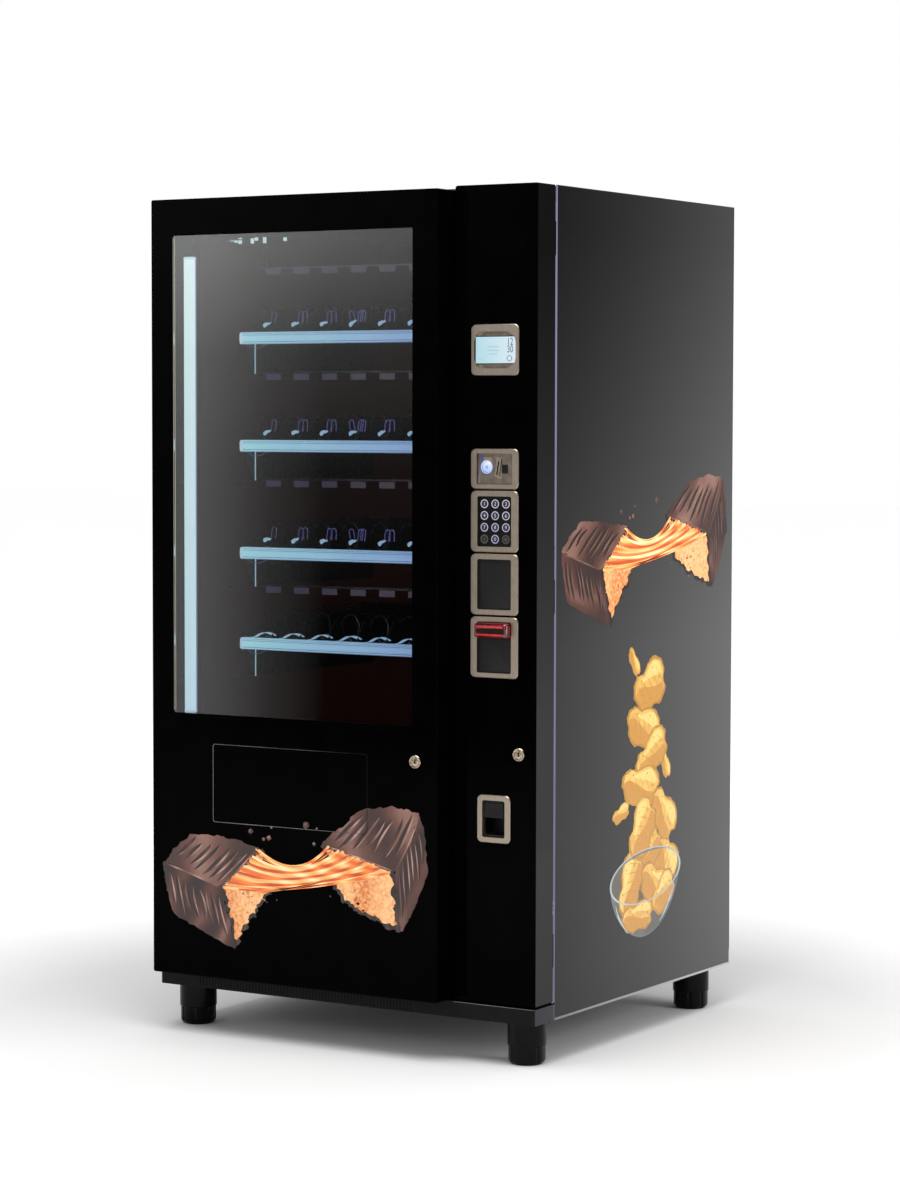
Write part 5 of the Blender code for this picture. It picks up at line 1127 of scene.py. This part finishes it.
# Note reader: a clear red snout with a dark throat; the throat's black is painted shade, and the snout's
# patchy red glow and the row of red gleams low in it are painted reflections.
def makeSnout():
    data = {"wall": 0.0022, "paintedGleams": 6}
    low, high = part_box("note_snout")
    x, z = (low[0] + high[0]) / 2, (low[2] + high[2]) / 2
    f, back = low[1], high[1]
    w, h = high[0] - low[0], high[2] - low[2]
    shell = []
    for shrink, y, corner in ((0.0160, f + 0.0004, 0.004), (0.0100, f, 0.005), (0.0040, f + 0.0018, 0.006),
                              (0.0010, f + 0.0050, 0.006), (0.0, f + 0.0090, 0.006), (0.0, back, 0.006)):
        shell.append(front(rounded(w - shrink, h - shrink, corner, 6), y, x, z))
    mouth = []
    for wide, tall, y in ((0.068, 0.0085, f - 0.0001), (0.066, 0.0062, f + 0.0020),
                          (0.060, 0.0052, f + 0.012)):
        mouth.append(front(rounded(wide, tall, tall * 0.42, 5), y, x, z - 0.0008))
    lips = []
    for dz in (0.0068, -0.0084):
        lips.append(skin([front(rounded(0.062, 0.0022, 0.001, 4), y, x, z + dz) for y in (f + 0.0002,
                                                                                          f - 0.00005)]))
    gleam = []
    for i in range(data["paintedGleams"]):
        a = x - 0.026 + i * 0.0104
        gleam.append(skin([front(tilted(rounded(0.0075, 0.0016, 0.0007, 3), 0.18), y, a, z - 0.0105)
                           for y in (f + 0.0012, f + 0.0007)]))
    addPiece("note_snout_shell", "payment_door",
             [(skin(shell), redClear), (skin(mouth), blackFilm), (joined(lips), redGlow),
              (joined(gleam), redPaintedGleam)],
             stands=["note_snout"])


# the clear red moulding glows in patches: a painted reflection inside it
redClear, redTree, redShader, redWhere = startMaterial("moulded red clear polycarbonate", "#3a0004", 0.10)
redShader.inputs["Coat Weight"].default_value = 0.6
redShader.inputs["Emission Strength"].default_value = 0.30
redCloud = add(redTree, "ShaderNodeTexNoise", {"Scale": 70.0, "Detail": 3.0}, {"Vector": redWhere})
redRamp = add(redTree, "ShaderNodeValToRGB", {}, {"Fac": redCloud.outputs["Fac"]})
fillRamp(redRamp, [(0.42, tone("#1c0003")), (0.72, tone("#c4000f"))])
redTree.links.new(redRamp.outputs["Color"], redShader.inputs["Emission Color"])
redPaintedGleam = glowing("red painted gleam", {"colour": "#ff4a4a", "rough": 0.2, "axis": "X", "run": (0.34, 0.42),
                   "start": "#d3101c", "end": "#ff6a66", "strength": 1.2, "patch": 5, "wander": 0.8})
makeSnout()


def makeReturn():
    x, z, floor = recessOf("return_module")
    ringOuter, ringInner = rounded(0.0532, 0.0765, 0.0035), rounded(0.0464, 0.0684, 0.0030)
    ring = skin([front(o, y, x, z) for o, y in ((ringOuter, floor - 0.0001), (ringOuter, floor - 0.0005),
                                               (ringInner, floor - 0.0005), (ringInner, floor - 0.0001))],
                                               ring=True)
    cup = skin([front(rounded(0.0456, 0.0676, 0.0008), y, x, z) for y in (floor - 0.0001, floor + 0.0335)],
               ends=(False, True))
    addPiece("return_cup", "payment_door", [(ring, blackFilm), (cup, blackFilm)])
    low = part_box("return_flap")[0]
    grip = [box((x - 0.0215, low[1] - 0.0003, low[2] + 0.0010), (x + 0.0215, low[1], low[2] + 0.0022))]
    for i in range(4):
        grip.append(box((x - 0.016, low[1] - 0.0003, low[2] + 0.006 + i * 0.0022),
                        (x + 0.016, low[1], low[2] + 0.0068 + i * 0.0022)))
    addPiece("return_flap_grip", "return_flap", [(joined(grip), fillerPlastic)])


makeReturn()
print("payment side made")


# Base: vent ribs under the product door, the joint between the two front pieces, feet with slots.
def makeBase():
    data = {"pitch": 0.00830, "rib": 0.0044, "proud": 0.0011}
    low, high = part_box("plinth")
    f = low[1]
    ribs, x = [], -0.378
    while x < 0.178:
        a, b = x, x + data["rib"]
        line = [(a, f + 0.0002), (a + 0.0006, f - data["proud"] * 0.8), (a + 0.0014, f - data["proud"]),
                (b - 0.0014, f - data["proud"]), (b - 0.0006, f - data["proud"] * 0.8), (b, f + 0.0002)]
        ribs.append(skin([[(p, q, low[2] + 0.0035) for p, q in line],
                          [(p, q, high[2] - 0.0030) for p, q in line]]))
        x += data["pitch"]
    addPiece("vent_ribs", "cabinet", [(joined(ribs), basePaint)])
    gap = box((payLow[0] - 0.0012, f - 0.0002, low[2] + 0.0005),
              (payLow[0] - 0.0002, f + 0.0001, high[2] - 0.0005))
    trim = box((payLow[0] + 0.001, f - 0.0006, high[2] - 0.0016),
               (high[0] - 0.0012, f + 0.0004, high[2] - 0.0002))
    addPiece("plinth_joint", "cabinet", [(gap, blackFilm), (trim, trimMetal)])
    for name in ("foot_front_left", "foot_front_right", "foot_rear_left", "foot_rear_right"):
        fLow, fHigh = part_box(name)
        cx, cy = (fLow[0] + fHigh[0]) / 2, (fLow[1] + fHigh[1]) / 2
        big, top = (fHigh[0] - fLow[0]) / 2, fHigh[2]
        profile = [(big - 0.012, 0.0), (big - 0.0085, 0.0006), (big - 0.0030, 0.0065), (big - 0.0021, 0.0090),
                   (big - 0.0020, top * 0.42), (big - 0.0012, top * 0.435), (big - 0.0003, top * 0.44),
                   (big, top * 0.455), (big, top - 0.0015), (big - 0.0015, top)]
        loops = []
        for r, z in profile:
            ring = []
            for i in range(72):
                turn = 2 * math.pi * i / 72
                notch = 0.0022 if i % 9 in (4, 5) and 0.005 < z < top * 0.425 else 0.0
                ring.append((cx + (r - notch) * math.cos(turn), cy + (r - notch) * math.sin(turn), z))
            loops.append(ring)
        addPiece(f"{name}_moulding", "cabinet", [(skin(loops), mouldedFoot)], stands=[name])


makeBase()


# Plinth paint with a bare bright lip along both sides; the lip's colour is dark at the front and grows paler
# towards the back: a painted reflection of the bright room behind.
def makePlinthFinish():
    made, tree, shader, parts = opened(basePaint, "textured base paint with bare side lip")
    side = add(tree, "ShaderNodeMath", {"operation": "ABSOLUTE"}, {0: parts["X"]})
    far = add(tree, "ShaderNodeMath", {"operation": "GREATER_THAN", 1: 0.4785}, {0: side.outputs[0]})
    along = add(tree, "ShaderNodeMapRange", {"From Min": -0.42, "From Max": 0.48}, {"Value": parts["Y"]})
    shades = add(tree, "ShaderNodeValToRGB", {}, {"Fac": along.outputs["Result"]})
    stops = ((0.0, "#2a2a2e"), (0.088, "#303034"), (0.10, "#68686a"), (1.0, "#a0a0a3"))
    fillRamp(shades, [(place, tone(code)) for place, code in stops])
    rebase(tree, shader, far.outputs[0], over=shades.outputs["Color"])
    paint(["plinth"], made)


makePlinthFinish()
print("base made")


# Rear: a steel pan held by screws, with pressed beads and two columns of pressed louvres.
def makeRear():
    data = {"screw": 0.0045, "rows": 7, "hood": 0.0052}
    low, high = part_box("rear_cover")
    back = high[1]
    sheet = [box((low[0] + 0.0006, back - 0.0030, low[2]),
                 (high[0] - 0.0006, back - 0.0018, high[2] - 0.0004))]
    beads = []
    for z0, z1 in ((0.62, 0.66), (1.05, 1.09), (1.48, 1.52)):
        line = [(z0, back - 0.0019), (z0 + 0.008, back - 0.0004), (z1 - 0.008, back - 0.0004),
                (z1, back - 0.0019)]
        beads.append(skin([[(x, y, z) for z, y in line] for x in (low[0] + 0.08, high[0] - 0.08)]))
    hoods, dark = [], []
    for centre in (-0.2258, 0.0438):
        for row in range(data["rows"]):
            z = 0.156 + (row + 0.5) * 0.26 / data["rows"]
            line = [(z - 0.0074, back - 0.0018), (z - 0.0070, back - 0.0002), (z + 0.002, back - 0.0008),
                    (z + 0.0080, back - 0.0018)]
            hoods.append(skin([[(centre - 0.100, y, q) for q, y in line],
                               [(centre + 0.100, y, q) for q, y in line]]))
            # a black strip under each hood stands for the louvre's opening: painted shade
            dark.append(box((centre - 0.096, back - 0.0021, z - 0.0092),
                            (centre + 0.096, back - 0.0016, z - 0.0072)))
    screws = []
    for i in range(7):
        z = low[2] + 0.025 + i * (high[2] - low[2] - 0.050) / 6
        for x in (low[0] + 0.016, high[0] - 0.016):
            screws.append((x, z))
    for i in range(1, 5):
        for z in (low[2] + 0.025, high[2] - 0.025):
            screws.append((low[0] + i * (high[0] - low[0]) / 5, z))
    heads, crosses = [], []
    for x, z in screws:
        heads.append(skin([front(oval(2 * r, 2 * r, 16), y, x, z) for r, y in
                           ((data["screw"], back - 0.0018), (data["screw"] * 0.95, back - 0.0009),
                            (data["screw"] * 0.6, back - 0.0002))]))
        # the screws' cross recesses are black film: painted shade
        crosses.append(box((x - 0.0024, back - 0.0003, z - 0.0004), (x + 0.0024, back - 0.00005, z + 0.0004)))
        crosses.append(box((x - 0.0004, back - 0.0003, z - 0.0024), (x + 0.0004, back - 0.00005, z + 0.0024)))
    addPiece("rear_pan", "cabinet",
             [(joined(sheet + beads + hoods), powderCoat), (joined(dark), blackFilm),
              (joined(heads), brightZinc),
              (joined(crosses), blackFilm)], stands=["rear_cover"])


makeRear()


# Inside: coin tubes, condenser fins and coils, an air duct on the back wall, a bracket in the roof.
def makeInside():
    low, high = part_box("coin_changer")
    front0, x0, x1 = low[1], low[0], high[0]
    tubes = []
    for i in range(4):
        x = x0 + 0.020 + i * 0.0267
        tubes.append(skin([level(oval(0.022, 0.010, 20), z, x, front0 - 0.001) for z in (low[2] + 0.06,
                                                                                         high[2] - 0.14)]))
    keys = [box((x0 + 0.012 + i * 0.018, front0 - 0.003, high[2] - 0.10),
                (x0 + 0.024 + i * 0.018, front0 + 0.001, high[2] - 0.092))
            for i in range(6)]
    plateFront = box((x0 + 0.006, front0 - 0.0018, high[2] - 0.12),
                     (x1 - 0.006, front0 + 0.0005, high[2] - 0.015))
    addPiece("coin_tubes", "cabinet",
             [(joined(tubes), bronzeFace), (joined(keys), trimMetal), (plateFront, fillerPlastic)])
    low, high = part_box("cooling_unit")
    fins = [box((low[0] + 0.024 + i * 0.006, high[1] - 0.0205, 0.165),
                (low[0] + 0.0252 + i * 0.006, high[1] - 0.0185, 0.385))
            for i in range(48)]
    coils = []
    for row in range(6):
        z = 0.185 + row * 0.036
        coils.append(wire([(low[0] + 0.024, high[1] - 0.016, z), (low[0] + 0.312, high[1] - 0.016, z)],
                          0.004, 8))
    addPiece("condenser_fins", "cabinet", [(joined(fins), galvanised),
                                                         (joined(coils), copperPipe)])
    slots = []
    # the duct's slots are black film: painted shade in the openings
    for i in range(14):
        x = -0.385 + i * 0.044
        slots.append(skin([front(rounded(0.030, 0.008, 0.0038, 4), y, x + 0.015, 1.735) for y in (0.3962,
                                                                                                  0.3966)]))
    duct = plate(lambda grow: rounded(0.64 + grow, 0.13 + grow, 0.008), 0.3966, 0.4085, -0.091, 1.700, 0.002)
    addPiece("air_duct", "cabinet", [(duct, linerSheet), (joined(slots), blackFilm)])
    bracket = [box((-0.404, -0.300, 1.742), (-0.352, -0.297, 1.7718)),
               box((-0.404, -0.300, 1.742), (-0.352, -0.270, 1.7435)),
               box((-0.372, -0.296, 1.7435), (-0.360, -0.284, 1.7500))]
    bolts = [turnedBack([(0.0030, -0.3015), (0.0034, -0.3008), (0.0034, -0.2998)], x, 1.757,
                        12) for x in (-0.394, -0.378, -0.362)]
    tags = [box((x - 0.0205, -0.1535, 1.671), (x + 0.0205, -0.1520, 1.685))
            for x in (sum(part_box(f"spiral_{n}")[i][0] for i in (0, 1)) / 2 for n in range(1, 9))]
    tags.append(box((-0.394, -0.1525, 1.684), (0.212, -0.1505, 1.687)))
    hangers = [box((x, -0.1520, 1.686), (x + 0.012, -0.1505, 1.7718)) for x in (-0.388, 0.194)]
    addPiece("roof_tags", "cabinet", [(joined(tags), tagPaintedSpill), (joined(hangers), galvanised)])
    strips = [box((x, 0.3925, 0.480), (x + 0.020, 0.3965, 1.630)) for x in (-0.205, -0.065)]
    pins = [box((x + 0.036, 0.3935, z), (x + 0.040, 0.3955, z + 0.004)) for x in (-0.205,) for z in
            [0.9 + 0.02 * i for i in range(14)]]
    addPiece("rear_channels", "cabinet", [(joined(strips), channelPaintedSpill), (joined(pins), tagPaintedSpill)])
    # terminals in the roof glow with painted lamp light
    clutter = [box((-0.398 + 0.011 * i, -0.262, 1.741 - 0.003 * (i % 3)),
                   (-0.391 + 0.011 * i, -0.258, 1.748 - 0.002 * (i % 2)))
               for i in (0, 1, 2, 5, 6, 8, 13)]
    addPiece("roof_terminals", "cabinet", [(joined(clutter), capPaintedLight)])
    addPiece("roof_bracket", "cabinet", [(joined(bracket), galvanised),
                                                       (joined(bolts), guidePaintedHighlight)])


copperData = {"colour": "#a8674a", "dark": "#7c4430", "rough": 0.3, "spread": 0.08, "patch": 10, "grain": 1,
              "depth": 0.01}
copperPipe = grainy("drawn copper pipe", copperData, 1.0)
makeInside()
print("rear and inside made")


# Side sheet: the right panel a hair thinner, so that its printed picture stays in the panel's own space.
def makeSide():
    low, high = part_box("side_panel_right")
    face = high[0] - 0.0006
    sheet = box(low, (face, high[1], high[2]))
    edge = box((face - 0.0004, low[1], high[2] - 0.0012), (face + 0.0002, high[1], high[2] - 0.0002))
    # a bright flange behind the payment door: its glow is a painted highlight
    flange = box((0.4757, low[1] - 0.0007, payLow[2]), (high[0] - 0.0004, low[1] + 0.0003,
                                                        payHigh[2] - 0.0015))
    addPiece("front_flange", "cabinet", [(flange, flangePaintedHighlight)])
    addPiece("side_sheet", "cabinet", [(sheet, sideCoat), (edge, trimMetal)],
             stands=["side_panel_right"])
    return face


sideFace = makeSide()


# The picture on the side: a broken bar above, crisps falling into a glass bowl below. A layer is 0.09 mm.
def onSide(points, layer):
    return [(sideFace + 0.00009 * layer, a, b) for a, b in points], [tuple(range(len(points)))]


def onFront(points, layer):
    return [(a, doorFace - 0.00014 * layer, b) for a, b in points], [tuple(range(len(points)))]


def dense(points, count):
    made = []
    for i, (a, b) in enumerate(points):
        c, d = points[(i + 1) % len(points)]
        made += [(a + (c - a) * t / count, b + (d - b) * t / count) for t in range(count)]
    return made


# A stroke with pointed or blunt ends along a bent line.
def stroke(start, bend, end, width, ends=0.1, steps=10):
    upper, lower = [], []
    for i in range(steps + 1):
        t = i / steps
        a, b = (((1 - t) ** 2 * p + 2 * t * (1 - t) * q + t * t * r) for p, q, r in zip(start, bend, end))
        da, db = (2 * (1 - t) * (q - p) + 2 * t * (r - q) for p, q, r in zip(start, bend, end))
        size = math.hypot(da, db) or 1.0
        half = width / 2 * (ends + (1 - ends) * math.sin(math.pi * t))
        upper.append((a - db / size * half, b + da / size * half))
        lower.append((a + db / size * half, b - da / size * half))
    return upper + lower[::-1]


# A broken bar in two halves, drawn as faces in slanting view; the points are shares of its width and height.
barArt = {
    "leftTop": [(0.004, 0.528), (0.055, 0.63), (0.12, 0.725), (0.25, 0.71), (0.385, 0.675), (0.31, 0.545),
                (0.225, 0.400), (0.12, 0.46)],
    "leftSide": [(0.004, 0.535), (0.12, 0.475), (0.228, 0.415), (0.262, 0.21), (0.284, 0.024), (0.16, 0.115),
                 (0.043, 0.205), (0.018, 0.37)],
    "leftCut": [(0.225, 0.405), (0.31, 0.55), (0.385, 0.675), (0.405, 0.60), (0.40, 0.50), (0.425, 0.42),
                (0.40, 0.33), (0.345, 0.20), (0.284, 0.024), (0.255, 0.22)],
    "rightTop": [(0.610, 0.725), (0.70, 0.86), (0.758, 0.955), (0.87, 0.985), (0.969, 0.965), (0.945, 0.80),
                 (0.880, 0.590), (0.75, 0.665)],
    "rightSide": [(0.885, 0.61), (0.945, 0.80), (0.972, 0.955), (0.990, 0.80), (1.000, 0.610), (0.955, 0.40),
                  (0.905, 0.225), (0.885, 0.40)],
    "rightCut": [(0.610, 0.730), (0.75, 0.675), (0.885, 0.605), (0.898, 0.40), (0.905, 0.225), (0.83, 0.27),
                 (0.745, 0.33), (0.665, 0.43), (0.625, 0.55)],
    "crumbs": [(0.345, 0.765, 0.013), (0.395, 0.725, 0.008), (0.415, 0.735, 0.011), (0.425, 0.80, 0.006),
               (0.555, 0.83, 0.016),
               (0.595, 0.815, 0.006), (0.585, 0.72, 0.010), (0.605, 0.47, 0.007), (0.645, 0.41, 0.004),
               (0.445, 0.355, 0.003)],
}


# Points on the surface of a half: u runs along its top edge, v from that edge to the far one, both from 0
# to 1.
def within(corners, u, v):
    (a, b, c, d) = corners
    return tuple((1 - u) * (1 - v) * p + u * (1 - v) * q + u * v * r + (1 - u) * v * t for p, q, r,
                 t in zip(a, b, c, d))


barCorners = {"leftTop": [(0.12, 0.715), (0.375, 0.675), (0.225, 0.410), (0.004, 0.528)],
              "leftSide": [(0.010, 0.52), (0.222, 0.405), (0.280, 0.040), (0.043, 0.205)],
              "rightTop": [(0.758, 0.945), (0.965, 0.960), (0.880, 0.600), (0.615, 0.725)],
              "rightSide": [(0.972, 0.94), (0.892, 0.63), (0.905, 0.25), (0.998, 0.600)]}


def drawBar(place, low, high, seed):
    wide, tall = high[0] - low[0], high[1] - low[1]

    def spot(points):
        return [(low[0] + wide * a, low[1] + tall * b) for a, b in points]

    dice = random.Random(seed)
    parts = []
    for i, (name, layer, finish, wave) in enumerate((("leftCut", 1, chocRim, 0.020),
                                                     ("rightCut", 1, chocRim, 0.020),
                                                     ("leftSide", 2, chocSide, 0.007),
                                                     ("rightSide", 2, chocSide, 0.007),
                                                     ("leftTop", 2.5, chocTop, 0.010),
                                                     ("rightTop", 2.5, chocTop, 0.010))):
        points = wavy(dense(spot(barArt[name]), 3), wave * tall, seed + i, 2)
        parts.append((place(points, layer), finish))
        if name.endswith("Cut"):
            pull = (-0.004, 0.035) if name == "leftCut" else (-0.006, 0.030)
            middle = (sum(a for a, b in points) / len(points) + pull[0] * wide,
                      sum(b for a, b in points) / len(points) + pull[1] * tall)
            inner = [(middle[0] + 0.86 * (a - middle[0]), middle[1] + 0.86 * (b - middle[1])) for a,
                     b in points]
            parts.append((place(inner, 1.5), biscuit))
            for j in range(16):
                u, v = dice.uniform(-0.75, 0.75), dice.uniform(-0.85, 0.35)
                r = dice.uniform(0.004, 0.011) * tall
                centre = (middle[0] + u * 0.055 * wide * (1.1 + v), middle[1] + v * 0.22 * tall)
                if abs(u) + abs(v) < 1.15:
                    hole = wavy([(centre[0] + r * 1.3 * p, centre[1] + r * q) for p, q in oval(2, 2, 6)],
                                r * 0.25, seed + 90 + j, 1)
                    parts.append((place(hole, 1.8), biscuitHole))
    # folds of glaze: dark valleys with a light crest beside each
    for name, count, width in (("leftSide", 8, 0.030), ("rightSide", 6, 0.022), ("leftTop", 7, 0.034),
                               ("rightTop", 7, 0.034)):
        corners = barCorners[name]
        for i in range(count):
            u = (i + 0.6) / (count + 0.2) + dice.uniform(-0.02, 0.02)
            v0, v1 = dice.uniform(0.02, 0.20), dice.uniform(0.72, 0.97)
            bow = dice.uniform(-0.09, 0.09)
            for shift, finish, share, layer in ((0.0, chocValley, 1.0, 3.2), (0.035, chocShine, 0.42, 3.6)):
                ends = [within(corners, u + shift, v0 + shift),
                        within(corners, u + shift + bow, (v0 + v1) / 2),
                        within(corners, u + shift, v1 - shift)]
                line = spot(ends)
                parts.append((place(stroke(*line, width * share * tall, 0.05), layer), finish))
    for start, bend, end, width in (((0.02, 0.515), (0.12, 0.470), (0.215, 0.405), 0.012),
                                    ((0.235, 0.40), (0.31, 0.545), (0.375, 0.665), 0.010),
                                    ((0.63, 0.715), (0.76, 0.66), (0.87, 0.600), 0.012),
                                    ((0.886, 0.61), (0.945, 0.80), (0.968, 0.94), 0.010)):
        parts.append((place(stroke(*spot([start, bend, end]), width * tall, 0.3), 3.9), chocShine))
    # pulled caramel: a sheet that narrows in the middle, then strands over it
    count = 13
    for i in range(count):
        t = i / (count - 1)
        left = (0.375 - 0.135 * t, 0.655 - 0.255 * t)
        right = (0.640 + 0.225 * t, 0.715 - 0.125 * t)
        waist = (0.52 + 0.012 * t, 0.455 - 0.055 * t + 0.010 * math.sin(7 * t))
        finish = (caramel, caramelDeep, caramelPale)[i % 3]
        width = (0.060, 0.030, 0.022)[i % 3] * (1.0 if 1 < i < 11 else 0.35)
        line = spot([left, waist, right])
        parts.append((place(stroke(*line, width * tall, 0.75 - 0.35 * math.sin(math.pi * t), 16),
                            4.2 + (i % 3) * 0.35), finish))
    for i, (start, bend, end, width) in enumerate((((0.365, 0.66), (0.47, 0.50), (0.575, 0.60), 0.011),
                                                   ((0.30, 0.40), (0.45, 0.39), (0.66, 0.52), 0.010),
                                                   ((0.34, 0.38), (0.50, 0.42), (0.69, 0.545), 0.007))):
        parts.append((place(stroke(*spot([start, bend, end]), width * tall, 0.8, 14), 5.4),
                      (caramelPale, caramelDeep, caramel)[i]))
    for i, (a, b, r) in enumerate(barArt["crumbs"]):
        centre = spot([(a, b)])[0]
        blob = [(centre[0] + r * tall * 1.6 * u, centre[1] + r * tall * 1.5 * v) for u, v in oval(2, 2, 7)]
        parts.append((place(wavy(blob, r * tall * 0.35, seed + 40 + i, 2), 2), chocTop))
        light = [(centre[0] + r * tall * (0.7 * u - 0.3), centre[1] + r * tall * (0.5 * v + 0.4)) for u,
                 v in oval(2, 2, 6)]
        parts.append((place(light, 2.4), chocShine))
    return parts


chocShine = printed("print of glaze highlight", {"band": 30, "bend": 4.0, "cloud": 25,
                    "stops": [(0.2, "#5a3a30"), (0.55, "#7d5b50"), (0.9, "#a08478")]})
chocValley = printed("print of glaze in shade", {"band": 24, "bend": 4.0, "cloud": 20,
                     "stops": [(0.2, "#170806"), (0.55, "#2a110c"), (0.9, "#43221a")]})
biscuitHole = printed("print of biscuit bubbles", {"band": 12, "bend": 4.0, "cloud": 8,
                      "stops": [(0.2, "#a04a22"), (0.55, "#b9622f"), (0.9, "#cf8148")]})
caramelDeep = printed("print of caramel in shade", {"band": 14, "bend": 1.5, "cloud": 80,
                                                    "turn": (0, 1.35, 0),
                      "stops": [(0.2, "#a93d10"), (0.5, "#c9571c"), (0.8, "#dc7733")]})
caramelPale = printed("print of caramel in the light", {"band": 14, "bend": 1.5, "cloud": 80,
                                                        "turn": (0, 1.35, 0),
                      "stops": [(0.2, "#e3954c"), (0.5, "#eeb06c"), (0.8, "#f6cf9c")]})


# One crisp: a bent leaf with a toasted edge, a lit face, a fold in shade, creases and blisters.
def crisp(place, centre, width, height, angle, layer, seed):
    def at(points):
        return tilted([(u * width, v * height) for u, v in points], angle, *centre)

    leaf = [(-0.50, 0.02), (-0.46, 0.24), (-0.30, 0.40), (-0.12, 0.33), (0.06, 0.47), (0.27, 0.50),
            (0.45, 0.33), (0.50, 0.08),
            (0.41, -0.10), (0.45, -0.30), (0.22, -0.50), (0.02, -0.41), (-0.18, -0.49), (-0.38, -0.35),
            (-0.42, -0.15)]
    face = [(0.90 * u + 0.010, 0.87 * v + 0.012) for u, v in leaf]
    shade = [(-0.45, 0.04), (-0.30, 0.14), (-0.10, 0.05), (0.12, -0.10), (0.38, -0.12), (0.39, -0.28),
             (0.20, -0.43),
             (0.02, -0.35), (-0.17, -0.42), (-0.34, -0.30), (-0.37, -0.13)]
    glow = [(-0.26, 0.30), (-0.10, 0.22), (0.08, 0.36), (0.26, 0.41), (0.38, 0.27), (0.40, 0.06),
            (0.24, 0.10), (0.02, 0.16), (-0.18, 0.17)]
    parts = [(place(wavy(dense(at(leaf), 2), width * 0.012, seed, 2), layer), crispEdge),
             (place(wavy(dense(at(face), 2), width * 0.008, seed + 1, 2), layer + 0.05), crispFace),
             (place(wavy(at(shade), width * 0.006, seed + 2, 2), layer + 0.09), crispShade),
             (place(wavy(at(glow), width * 0.006, seed + 3, 2), layer + 0.12), crispLight)]
    for i in range(5):
        line = at([(-0.36 + 0.15 * i, 0.20 + 0.03 * i), (-0.22 + 0.14 * i, 0.04),
                   (-0.16 + 0.13 * i, -0.28 + 0.03 * i)])
        parts.append((place(stroke(*line, height * 0.016, 0.1, 8), layer + 0.15), crispEdge))
    for u, v, r in ((-0.2, 0.24, 0.022), (0.16, 0.30, 0.018), (0.30, 0.02, 0.022), (-0.05, -0.24, 0.020),
                    (0.12, -0.30, 0.014)):
        spot = at([(u + r * p, v + r * 1.3 * q) for p, q in oval(2, 2, 7)])
        parts.append((place(wavy(spot, width * 0.003, seed + 4, 1), layer + 0.18), crispEdge))
    return parts


crispShade = printed("print of crisp in shade", {"band": 30, "bend": 3.0, "cloud": 12,
                     "stops": [(0.25, "#a9762c"), (0.6, "#c29243"), (0.9, "#cfa659")]})


# A closed strip between two outlines of the side picture.
def band(place, outer, inner, layer):
    count = len(outer)
    x = place([(0.0, 0.0)], layer)[0][0][0]
    points = [(x, a, b) for line in (outer, inner) for a, b in line]
    return points, [(i, (i + 1) % count, count + (i + 1) % count, count + i) for i in range(count)]


def makeArt():
    addPiece("front_picture", "product_door",
             drawBar(onFront, (-0.4325, 0.190), (0.2565, 0.5405), 11), sharp=80)
    addPiece("side_picture_bar", "cabinet",
             drawBar(onSide, (-0.3195, 0.893), (0.453, 1.2275), 71), sharp=80)
    falling = [(0.082, 0.764, 0.155, 0.112, 0.35), (0.052, 0.676, 0.160, 0.100, -0.25),
               (0.092, 0.612, 0.165, 0.092, 0.55),
               (0.042, 0.548, 0.180, 0.095, -0.1), (0.148, 0.478, 0.140, 0.100, -0.75),
               (0.050, 0.452, 0.150, 0.110, 1.0)]
    tails = [(0.010, 0.822, 0.075, 0.036, -0.95), (0.155, 0.590, 0.080, 0.040, -1.1),
             (-0.048, 0.496, 0.080, 0.038, 0.3)]
    heap = [(0.158, 0.372, 0.120, 0.120, -0.9), (0.075, 0.395, 0.150, 0.105, 0.9),
            (-0.002, 0.335, 0.150, 0.105, 1.15), (0.115, 0.320, 0.160, 0.100, -0.5),
            (0.150, 0.300, 0.120, 0.080, 0.6), (0.030, 0.262, 0.150, 0.070, 0.05)]
    rim = tilted(oval(0.330, 0.118, 56), 0.06, 0.068, 0.348)
    bowl = tilted([(-0.165, 0.0), (-0.155, -0.045), (-0.120, -0.090), (-0.070, -0.122), (-0.015, -0.136),
                   (0.045, -0.128), (0.100, -0.098),
                   (0.142, -0.052), (0.165, 0.0), (0.150, 0.030), (0.080, 0.055), (-0.060, 0.055),
                   (-0.150, 0.030)], 0.06, 0.068, 0.348)
    bowlOutline = wavy(bowl, 0.0003, 5)
    parts = [(onSide(bowlOutline, 0.6), bowlPrint), (onSide(rim, 0.8), bowlDark)]
    for i, (a, b, w, h, t) in enumerate(heap):
        parts += crisp(onSide, (a, b), w, h, t, 1.2 + 0.44 * i, 300 + 5 * i)
    for i, (a, b, w, h, t) in enumerate(falling + tails):
        parts += crisp(onSide, (a, b), w, h, t, 1.42 + 0.44 * (i % 6), 400 + 5 * i)
    for outer, share, low, layer, finish in ((rim, 0.955, 0.351, 4.2, bowlLine),
                                             (bowlOutline, 0.965, 0.30, 4.0, bowlShade)):
        inner = [(0.068 + share * (u - 0.068), low + share * (v - low)) for u, v in outer]
        parts.append((band(onSide, outer, inner, layer), finish))
    for start, bend, end, width in (((-0.070, 0.300), (-0.055, 0.255), (-0.010, 0.232), 0.006),
                                    ((0.195, 0.310), (0.175, 0.262), (0.130, 0.238), 0.007),
                                    ((0.205, 0.330), (0.200, 0.300), (0.180, 0.275), 0.003)):
        parts.append((onSide(stroke(start, bend, end, width, 0.1), 4.4), bowlLine))
    addPiece("side_picture_crisps", "cabinet", parts, sharp=80)


bowlDark = printed("print of a bowl's inside", {"band": 60, "bend": 3.0, "cloud": 50,
                   "stops": [(0.25, "#4a4238"), (0.6, "#6b5f4c"), (0.9, "#84775d")]})
bowlShade = printed("print of a bowl's rim in shade", {"band": 40, "bend": 2.0, "cloud": 40,
                    "stops": [(0.25, "#565b5d"), (0.6, "#7b8284"), (0.9, "#9aa2a4")]})
makeArt()
print("pictures made")
